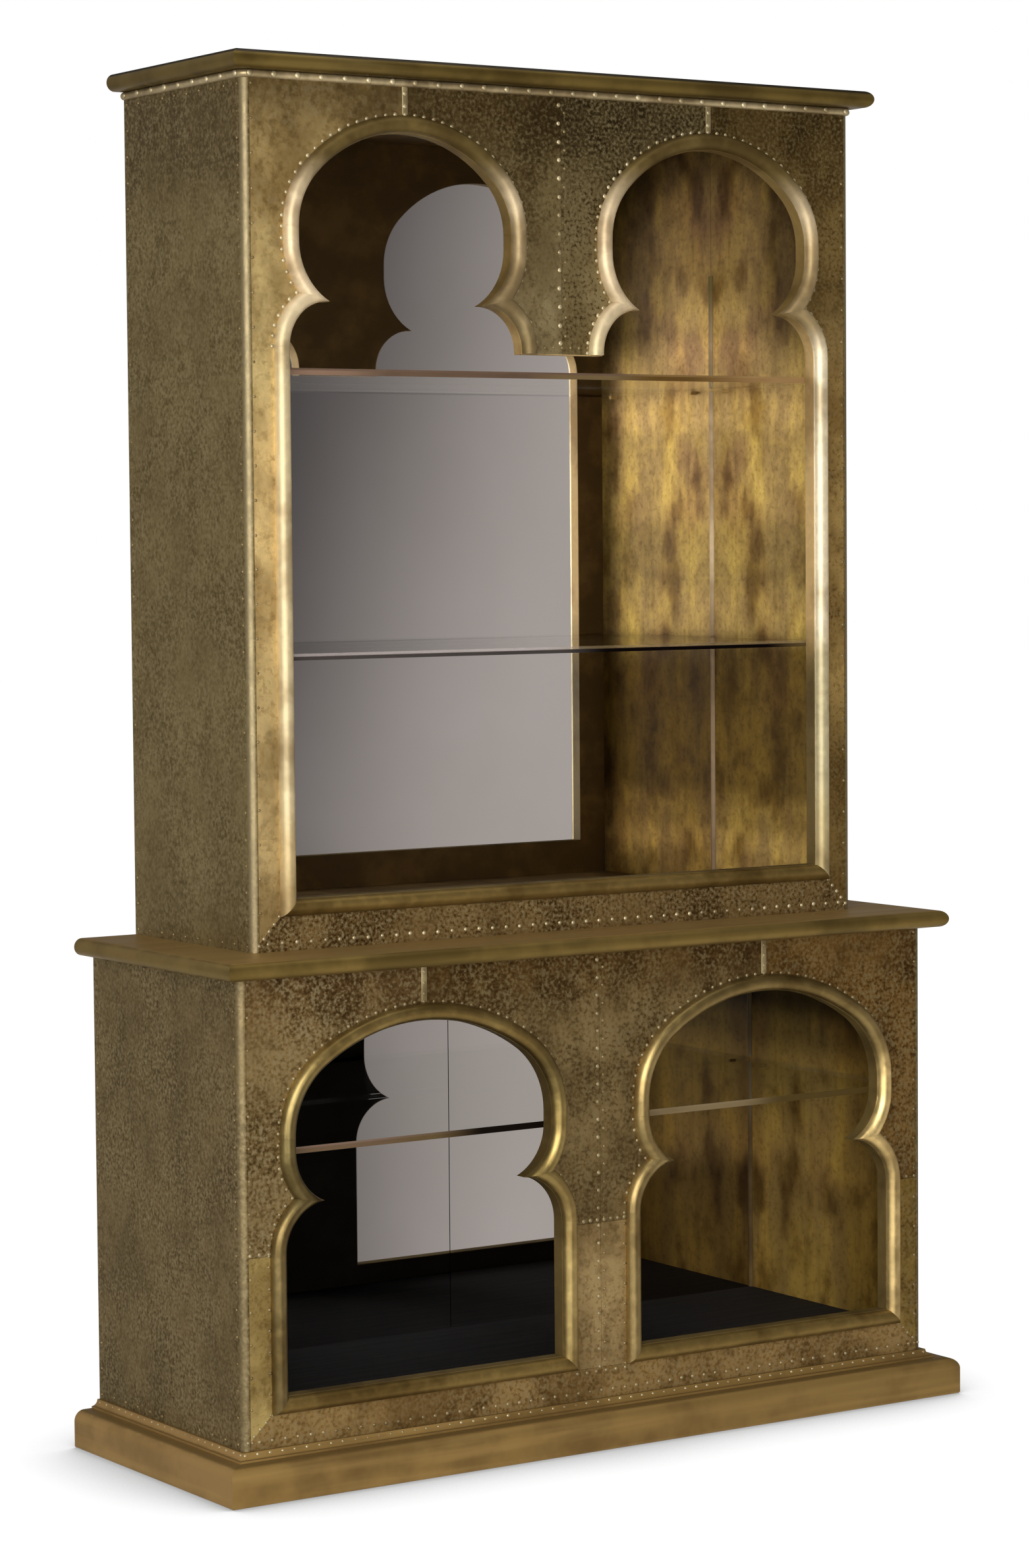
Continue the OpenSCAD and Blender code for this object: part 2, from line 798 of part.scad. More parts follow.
// Brass strip with a half-round front, wrapped round the hutch's front under the top slab
module top_bead() {
    corner = hutch_w / 2 - corner_r;
    depth = y_back - y_hutch - corner_r;
    color(BRIGHT) translate([0, y_hutch + corner_r, z_top - bead_h]) {
        translate([corner, 0, 0]) rotate([90, 0, -90]) linear_extrude(2 * corner)
            translate([corner_r, 0]) bead_section();
        both_sides() {
            translate([corner, 0, 0]) rotate([0, 0, -90]) rotate_extrude(angle = 90)
                translate([corner_r, 0]) bead_section();
            translate([corner, depth, 0]) rotate([90, 0, 0]) linear_extrude(depth)
                translate([corner_r, 0]) bead_section();
        }
    }
}

// Section of the bead, from the timber's face outwards
module bead_section() {
    translate([-sheet_t, 0]) square([sheet_t, bead_h]);
    translate([0, bead_h / 2]) intersection() {
        circle(r = bead_h / 2);
        translate([0, -bead_h / 2]) square([bead_h / 2, bead_h]);
    }
}

module top_slab() {
    color(BRASS) slab(hutch_w, y_hutch, z_top, top_out);
}

// Bolts from under the base's ceiling, through the middle slab, up into the hutch's deck

bolt_head_h = 5;
bolt_left = 6;
bolt_len = deck_t + slab_t + deck_t - bolt_left;

module at_bolts() {
    both_sides() for (y = [y_hutch_in + bolt_edge / 2, y_mirror - bolt_edge / 2])
        translate([hutch_in - bolt_edge, y, base_h - deck_t]) children();
}

module bolt_holes() {
    at_bolts() translate([0, 0, -past]) cylinder(d = bolt_d + 2 * hole_gap, h = bolt_len + past + hole_gap);
}

module joining_bolts() {
    color(STEEL) at_bolts() {
        cylinder(d = bolt_d, h = bolt_len);
        translate([0, 0, -bolt_head_h]) cylinder(d = 2 * bolt_d, h = bolt_head_h);
    }
}

base_side_left();
base_side_right();
base_front_panel();
base_deck();
base_ceiling();
base_back_panel();
base_mirror_left();
base_mirror_right();
base_shelf();
base_shelf_pins();
base_side_sheet_left();
base_side_sheet_right();
base_sheet_left();
base_sheet_mid_left();
base_sheet_mid_right();
base_sheet_right();
base_stile_sheet_left();
base_stile_sheet_right();
base_column_sheets();
base_sill_sheets();
base_lining_left();
base_lining_right();
base_reveal_left();
base_reveal_right();
base_arch_lip_left();
base_arch_lip_right();
base_sill_lip_left();
base_sill_lip_right();
plinth_front();
plinth_left();
plinth_right();
mid_slab();
hutch_side_left();
hutch_side_right();
hutch_front_panel();
hutch_deck();
hutch_ceiling();
hutch_back_panel();
hutch_mirror();
hutch_shelf_upper();
hutch_shelf_lower();
hutch_shelf_pins();
hutch_side_sheet_left();
hutch_side_sheet_right();
hutch_sheet_left();
hutch_sheet_mid_left();
hutch_sheet_mid_right();
hutch_sheet_right();
hutch_sill_sheet();
hutch_lining_left();
hutch_lining_right();
hutch_reveal();
hutch_arch_lip_left();
hutch_arch_lip_right();
hutch_sill_lip();
top_bead();
top_slab();
joining_bolts();
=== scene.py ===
"""Looks of the display bookcase: camera, studio, brass, mirrors, glass, and the sheets' nails."""

import math
import random

import bpy
from mathutils import Matrix, Vector


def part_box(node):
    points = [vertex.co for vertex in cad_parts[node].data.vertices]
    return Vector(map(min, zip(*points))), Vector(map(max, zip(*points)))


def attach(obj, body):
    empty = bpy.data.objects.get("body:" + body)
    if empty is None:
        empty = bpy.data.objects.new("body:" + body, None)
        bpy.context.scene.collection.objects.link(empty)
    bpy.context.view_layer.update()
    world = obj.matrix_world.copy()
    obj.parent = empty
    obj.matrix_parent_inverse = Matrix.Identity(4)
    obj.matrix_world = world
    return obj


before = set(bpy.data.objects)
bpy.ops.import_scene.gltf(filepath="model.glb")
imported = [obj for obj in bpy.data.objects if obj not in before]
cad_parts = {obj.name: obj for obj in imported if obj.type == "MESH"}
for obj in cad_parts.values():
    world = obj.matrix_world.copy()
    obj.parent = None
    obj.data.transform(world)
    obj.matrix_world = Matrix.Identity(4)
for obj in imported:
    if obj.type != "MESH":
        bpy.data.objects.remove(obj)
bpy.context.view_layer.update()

# Places in the object are in metres: X is the width, -Y the front, Z up.
MM = 0.001
TO_FRONT = Vector((0, -1, 0))
SIDES = ((-1, "left"), (1, "right"))
LIP_W = 25 * MM
CROWN_DROP = 140 * MM


# Camera

CAMERA_PLACE = Vector((-3.5115, -5.2743, 1.4187))
CAMERA_YAW = math.radians(33.51)
CAMERA_DOWN = math.radians(3.57)
CAMERA_ROLL = math.radians(-0.48)
CAMERA_LENS = 91.637
CAMERA_SENSOR = 36
CAMERA_SIGHT = 60


def add_camera():
    forward = Vector((math.sin(CAMERA_YAW) * math.cos(CAMERA_DOWN),
                      math.cos(CAMERA_YAW) * math.cos(CAMERA_DOWN), -math.sin(CAMERA_DOWN)))
    right = Vector((math.cos(CAMERA_YAW), -math.sin(CAMERA_YAW), 0))
    up = right.cross(forward)
    across = math.cos(CAMERA_ROLL) * right + math.sin(CAMERA_ROLL) * up
    above = math.cos(CAMERA_ROLL) * up - math.sin(CAMERA_ROLL) * right
    camera = bpy.data.objects.new("camera", bpy.data.cameras.new("camera"))
    camera.data.lens = CAMERA_LENS
    camera.data.sensor_width = CAMERA_SENSOR
    camera.data.clip_end = CAMERA_SIGHT
    camera.matrix_world = (Matrix.Translation(CAMERA_PLACE)
                           @ Matrix((across, above, -forward)).transposed().to_4x4())
    bpy.context.scene.collection.objects.link(camera)
    bpy.context.scene.camera = camera


# Shader trees

class Nodes:
    """Builds a shader tree, one short call for each node."""

    SOCKETS = {"color": "Base Color", "metal": "Metallic", "rough": "Roughness", "normal": "Normal",
               "clear": "Transmission Weight", "ior": "IOR", "gloss": "Specular IOR Level",
               "alpha": "Alpha"}

    def __init__(self, tree):
        self.tree = tree
        tree.nodes.clear()

    def add(self, kind, inputs=(), **settings):
        node = self.tree.nodes.new(kind)
        for key, value in settings.items():
            setattr(node, key, value)
        for key, value in dict(inputs).items():
            self.feed(node.inputs[key], value)
        return node

    def feed(self, socket, value):
        if isinstance(value, bpy.types.NodeSocket):
            self.tree.links.new(value, socket)
        elif socket.type == "RGBA":
            socket.default_value = (*value, 1) if len(value) == 3 else value
        else:
            socket.default_value = value

    def math(self, operation, first, second=0.0, third=0.0):
        return self.add("ShaderNodeMath", {0: first, 1: second, 2: third}, operation=operation).outputs[0]

    def between(self, value, low, high, to_low=0.0, to_high=1.0):
        """A smooth step of value from low to high."""
        node = self.add("ShaderNodeMapRange", {0: value, 1: low, 2: high, 3: to_low, 4: to_high},
                        interpolation_type="SMOOTHSTEP")
        return node.outputs[0]

    def mix(self, share, first, second, blend="MIX"):
        node = self.add("ShaderNodeMix", {0: share, 6: first, 7: second}, data_type="RGBA",
                        blend_type=blend)
        return node.outputs[2]

    def stretched(self, scale):
        """Object coordinates in metres, multiplied by a vector."""
        place = self.add("ShaderNodeTexCoord").outputs["Object"]
        node = self.add("ShaderNodeVectorMath", {0: place, 1: scale}, operation="MULTIPLY")
        return node.outputs[0]

    def noise(self, scale, detail=3.0, roughness=0.5, distortion=0.0):
        """Noise whose scale is a number, or a vector where the grain is long one way."""
        vector = self.stretched(scale if isinstance(scale, tuple) else (scale, scale, scale))
        node = self.add("ShaderNodeTexNoise", {"Vector": vector, "Scale": 1.0, "Detail": detail,
                                               "Roughness": roughness, "Distortion": distortion})
        return node.outputs["Fac"]

    def facing(self, axis):
        """The surface normal's part along an axis, from -1 to 1."""
        normal = self.add("ShaderNodeNewGeometry").outputs["True Normal"]
        return self.add("ShaderNodeSeparateXYZ", {0: normal}).outputs[axis]

    def place(self, axis):
        """Object coordinate along an axis, in metres."""
        return self.add("ShaderNodeSeparateXYZ", {0: self.stretched((1, 1, 1))}).outputs[axis]

    def graded(self, axis, tones, soft):
        """A colour that changes along an axis. The tones are a colour, then pairs of a place and the
        colour beyond it, going upwards along the axis, or downwards where soft is negative."""
        place = self.place(axis)
        colour = tones[0]
        for turn, beyond in tones[1:]:
            colour = self.mix(self.between(place, turn - soft, turn + soft), colour, beyond)
        return colour

    def shade(self, share, colour, tint):
        """The colour, multiplied by a tint as far as the share goes."""
        return self.mix(share, colour, tint, "MULTIPLY")

    def bump(self, height, depth, strength=1.0):
        node = self.add("ShaderNodeBump", {"Height": height, "Distance": depth, "Strength": strength})
        return node.outputs[0]

    def surface(self, **values):
        """The Principled shader with the given sockets, as the tree's surface."""
        sockets = {self.SOCKETS[key]: value for key, value in values.items()}
        shader = self.add("ShaderNodeBsdfPrincipled", sockets)
        self.add("ShaderNodeOutputMaterial", {"Surface": shader.outputs[0]})


def material(name):
    made = bpy.data.materials.new(name)
    made.use_nodes = True
    return made, Nodes(made.node_tree)


# Materials

def hammered_brass(name, tones, light, strokes, size, corner=1.0, rough=0.44, stained=1.0):
    """Brass sheet, beaten all over, so that a net of ridges with painted highlights stands round dark
    dimples. Its tones by height are painted light and shade. The strokes say how plainly it shows, the size
    is in millimetres, and the corner says how strongly a painted highlight and wear show on the rounded
    corners."""
    made, n = material(name)
    beaten = n.noise(1 / (DIMPLE_PITCH * size * MM), 2.0, 0.55)
    strong = n.noise(8.0, 3.0, 0.6)
    stain = n.noise((9.0, 9.0, 6.5), 4.0, 0.6)
    blotch = n.noise(42.0, 4.0, 0.6)
    power = n.between(strong, 0.34, 0.62, 0.45 * strokes, strokes)
    # Tones by height: painted light and shade, darkest at the top
    colour = n.graded(2, tones, -0.07)
    colour = n.shade(n.between(stain, 0.60, 0.38, 0.0, stained), colour, STAINED)
    colour = n.shade(n.between(blotch, 0.48, 0.66, 0.0, 0.7 * stained), colour, STAINED)
    # The ridges take a painted highlight in the light colour; the dimples take the darker DIMPLE tint
    ridge = n.between(beaten, 0.47, 0.66)
    dimple = n.between(beaten, 0.48, 0.34)
    colour = n.mix(n.math("MULTIPLY", ridge, power), colour, light)
    depth = n.math("MINIMUM", n.math("MULTIPLY", power, 1.3), 1.0)
    colour = n.shade(n.math("MULTIPLY", dimple, depth), colour, DIMPLE)
    # Rounded corners take a painted highlight, with wear
    turned = n.math("ABSOLUTE", n.math("MULTIPLY", n.facing(0), n.facing(1)))
    colour = n.mix(n.between(turned, 0.08, 0.30, 0.0, 0.8 * corner), colour, CORNER_HIGHLIGHT_AND_WEAR)
    height = n.math("ADD", n.math("MULTIPLY", beaten, 0.8), n.math("MULTIPLY", blotch, 0.5))
    n.surface(color=colour, metal=0.8, rough=n.between(blotch, 0.25, 0.75, rough - 0.04, rough + 0.10),
              gloss=0.2, normal=n.bump(height, 0.9 * MM, 0.5))
    return made


def moulding_brass(name, dark, body, worn, top, turns=0.86, metal=0.8):
    """Brass formed over the slabs and the plinth, smooth, with soft bands along its length. Where it turns
    upwards it takes the top's colour: painted light and shade on its upward faces."""
    made, n = material(name)
    along_x = n.noise((2.0, 40.0, 40.0), 3.0, 0.5, 0.2)
    along_y = n.noise((40.0, 2.0, 40.0), 3.0, 0.5, 0.2)
    side = n.between(n.math("ABSOLUTE", n.facing(0)), 0.45, 0.75)
    band = n.math("ADD", n.math("MULTIPLY", along_x, n.math("SUBTRACT", 1.0, side)),
                  n.math("MULTIPLY", along_y, side))
    patch = n.noise(6.0, 4.0, 0.6)
    spots = n.noise(60.0, 4.0, 0.7)
    colour = n.mix(n.between(patch, 0.34, 0.58), dark, body)
    colour = n.mix(n.between(band, 0.45, 0.70, 0.0, 0.55), colour, worn)
    colour = n.mix(n.between(spots, 0.58, 0.78, 0.0, 0.35), colour, dark)
    # Upward faces take a painted colour for their light and shade
    colour = n.mix(n.between(n.facing(2), turns, turns + 0.12), colour, top)
    normal = n.bump(n.math("ADD", band, n.math("MULTIPLY", spots, 0.4)), 0.4 * MM, 0.4)
    n.surface(color=colour, metal=metal, rough=n.between(band, 0.3, 0.7, 0.44, 0.54), gloss=0.2,
              normal=normal)
    return made


def lip_brass(name, tones, rubbed, metal=0.75, rough=0.42, arch=None, right=None):
    """Half-round brass and small strips, with tarnish left in patches and lighter where it is rubbed. Its
    tones by height are painted light and shade. Round an arch, the right-hand side below the crown takes
    tints that go by height: painted highlight and shade."""
    made, n = material(name)
    patch = n.noise(7.0, 4.0, 0.6)
    fine = n.noise(60.0, 3.0, 0.6)
    dents = n.noise(28.0, 2.0, 0.4)
    # Tones by height: painted light and shade
    colour = n.graded(2, tones, -0.05)
    # Painted highlight and shade on an arch's right-hand side below the crown, by height
    if arch:
        low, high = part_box(arch)
        middle, crown = (low.x + high.x) / 2, high.z - CROWN_DROP
        beyond = n.math("MULTIPLY", n.between(n.place(0), middle - 0.05, middle + 0.05),
                        n.between(n.place(2), crown + 0.04, crown - 0.04))
        colour = n.shade(beyond, colour, n.graded(2, right, -0.03))
    colour = n.shade(n.between(patch, 0.58, 0.36), colour, STAINED)
    colour = n.shade(n.between(fine, 0.44, 0.70, 0.0, 0.5), colour, (rubbed, rubbed, rubbed))
    normal = n.bump(n.math("ADD", dents, n.math("MULTIPLY", fine, 0.15)), 0.6 * MM, 0.3)
    n.surface(color=colour, metal=metal, rough=n.between(fine, 0.3, 0.7, rough - 0.04, rough + 0.06),
              gloss=0.1, normal=normal)
    return made


def lining_brass(name, tones, gold, plum, metal, flecked, front):
    """Brass sheet inside the cabinets, its patina run down in soft streaks of a gold tint, stained in
    patches of a plum tint, and flecked light and dark. Its tones by height are painted light and shade.
    Ahead of a depth and above a height it takes a painted shadow of the front board: front gives the two,
    and the tint."""
    made, n = material(name)
    runs = n.noise((15.0, 15.0, 4.5), 3.0, 0.45)
    streaks = n.noise((70.0, 70.0, 7.0), 2.0, 0.5)
    stains = n.noise((13.0, 13.0, 8.5), 3.0, 0.5)
    patches = n.noise((9.0, 9.0, 6.0), 2.0, 0.5)
    flecks = n.noise((44.0, 44.0, 34.0), 3.0, 0.6)
    pebbles = n.noise(125.0, 2.0, 0.5)
    depth, height, tint = front
    # Tones by height: painted light and shade
    colour = n.graded(2, tones, -0.025)
    # A painted shadow of the front board, ahead of a depth and above a height
    board_shadow = n.math("MULTIPLY", n.between(n.place(1), depth + 0.06, depth - 0.06),
                   n.between(n.place(2), height - 0.12, height + 0.05))
    colour = n.shade(board_shadow, colour, tint)
    colour = n.shade(n.between(runs, 0.38, 0.68, 0.0, 0.95), colour, gold)
    colour = n.shade(n.between(stains, 0.54, 0.30), colour, STREAKED)
    colour = n.shade(n.between(patches, 0.46, 0.68, 0.0, 0.8), colour, plum)
    colour = n.shade(n.between(flecks, 0.50, 0.64, 0.0, flecked), colour, gold)
    colour = n.shade(n.between(flecks, 0.50, 0.36, 0.0, flecked), colour, STREAKED)
    colour = n.shade(n.between(streaks, 0.48, 0.72, 0.0, 0.35), colour, STAINED)
    colour = n.shade(n.between(pebbles, 0.50, 0.68, 0.0, 0.45), colour, STAINED)
    normal = n.bump(n.math("ADD", stains, n.math("MULTIPLY", pebbles, 0.4)), 0.6 * MM, 0.4)
    n.surface(color=colour, metal=metal, rough=n.between(stains, 0.3, 0.7, 0.50, 0.62), gloss=0.03,
              normal=normal)
    return made


def black_paint(name, colour, sheen, gloss, right_tone=None):
    """Timber board painted matt black, its grain just showing. Its right half can take a lighter colour."""
    made, n = material(name)
    grain = n.noise((4.0, 90.0, 90.0), 4.0, 0.6)
    dust = n.noise(14.0, 4.0, 0.6)
    worn = tuple(2.2 * part for part in colour)
    shade = n.mix(n.between(dust, 0.4, 0.75, 0.0, 0.7), colour, worn)
    if right_tone:
        shade = n.mix(n.between(n.place(0), 0.05, 0.35), shade, right_tone)
    n.surface(color=shade, rough=n.between(grain, 0.3, 0.7, sheen, sheen + 0.10), gloss=gloss,
              normal=n.bump(grain, 0.2 * MM, 0.1))
    return made


def plain_timber(name):
    made, n = material(name)
    grain = n.noise((55.0, 55.0, 2.5), 5.0, 0.6, 0.8)
    pores = n.noise((300.0, 300.0, 12.0), 3.0, 0.6)
    colour = n.mix(n.between(grain, 0.35, 0.65), (0.17, 0.10, 0.05), (0.36, 0.24, 0.13))
    colour = n.mix(n.between(pores, 0.56, 0.7, 0.0, 0.6), colour, (0.09, 0.05, 0.025))
    n.surface(color=colour, rough=0.6, normal=n.bump(n.math("ADD", grain, pores), 0.3 * MM, 0.4))
    return made


def silvered_mirror(name, tints):
    """Mirror, darker towards the right-hand lining by tints that go by height: painted shade on what it
    reflects.
    """
    made, n = material(name)
    haze = n.noise(3.0, 3.0, 0.5)
    colour = n.mix(n.between(haze, 0.3, 0.7), (0.80, 0.79, 0.77), (0.86, 0.85, 0.84))
    # Painted shade, by height, on the reflection near the right-hand lining
    colour = n.shade(n.between(n.place(0), 0.29, 0.35), colour, n.graded(2, tints, -0.03))
    n.surface(color=colour, metal=1.0, rough=0.015)
    return made


def shelf_glass(name):
    """Clean float glass, whose broad faces hardly show."""
    made, n = material(name)
    smear = n.noise(6.0, 3.0, 0.5)
    n.surface(color=(0.97, 0.98, 0.97), rough=n.between(smear, 0.4, 0.8, 0.0, 0.03), clear=1.0, ior=1.006)
    return made


def glass_edge(name, shelf, tones, haze, share, solid):
    """Polished front edge of a shelf, painted from left to right with the reflections that it picks up. It
    is solid up to a height over its underside. Above that a share of its haze, a painted reflection, shows."""
    made, n = material(name)
    grime = n.noise((9.0, 40.0, 40.0), 3.0, 0.6)
    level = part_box(shelf)[0].z + solid
    above = n.between(n.place(2), level - 1 * MM, level + 1 * MM)
    colour = n.mix(above, n.graded(0, tones, 0.05), n.graded(0, haze, 0.05))
    colour = n.shade(n.between(grime, 0.4, 0.8, 0.0, 0.4), colour, STAINED)
    inside = n.add("ShaderNodeNewGeometry").outputs["Backfacing"]
    cover = n.math("SUBTRACT", 1.0, n.math("MULTIPLY", above, 1.0 - share))
    cover = n.math("MULTIPLY", cover, n.math("SUBTRACT", 1.0, inside))
    n.surface(color=colour, rough=0.4, gloss=0.02, alpha=cover)
    return made


def clear_edge(name):
    """The shelves' other edges, which can't be seen through the glass."""
    made, n = material(name)
    smear = n.noise(6.0, 3.0, 0.5)
    n.surface(color=(0.9, 0.93, 0.9), rough=0.1, alpha=n.between(smear, 0.4, 0.8, 0.0, 0.03))
    return made


def plain_steel(name):
    made, n = material(name)
    lines = n.noise((15.0, 200.0, 200.0), 3.0, 0.6)
    colour = n.mix(n.between(lines, 0.3, 0.7), (0.32, 0.31, 0.29), (0.55, 0.54, 0.52))
    n.surface(color=colour, metal=1.0, rough=0.35, normal=n.bump(lines, 0.1 * MM, 0.3))
    return made


# Brass as the photograph shows it on each part of the cabinets, linear colours. STAINED, STREAKED and
# DIMPLE are tints that darken it. CREAM and PALE are painted highlights on the beaten ridges, and the
# corner colour is a painted highlight with wear on the rounded corners. A list of tones is read from the
# top down: graded tells how. Where tones change with height, they are painted light and shade. The dimples'
# pitch is how far apart they come out, as a share of their size.
STAINED = (0.56, 0.52, 0.46)
STREAKED = (0.42, 0.36, 0.28)
DIMPLE = (0.32, 0.27, 0.20)
DIMPLE_PITCH = 0.62
CORNER_HIGHLIGHT_AND_WEAR = (0.225, 0.18, 0.10)
CREAM = (0.36, 0.29, 0.155)
PALE = (0.27, 0.215, 0.105)
# Painted shade on the top slab's upward faces
SLAB_TOP = (0.030, 0.022, 0.010)
POLISHED = (0.50, 0.405, 0.235)

# The hutch lips' tones by height: painted shade over the crowns, lighter below
HUTCH_LIP = ((0.125, 0.085, 0.026), (1.95, (0.62, 0.49, 0.31)), (1.75, POLISHED),
             (0.99, (0.45, 0.34, 0.17)))

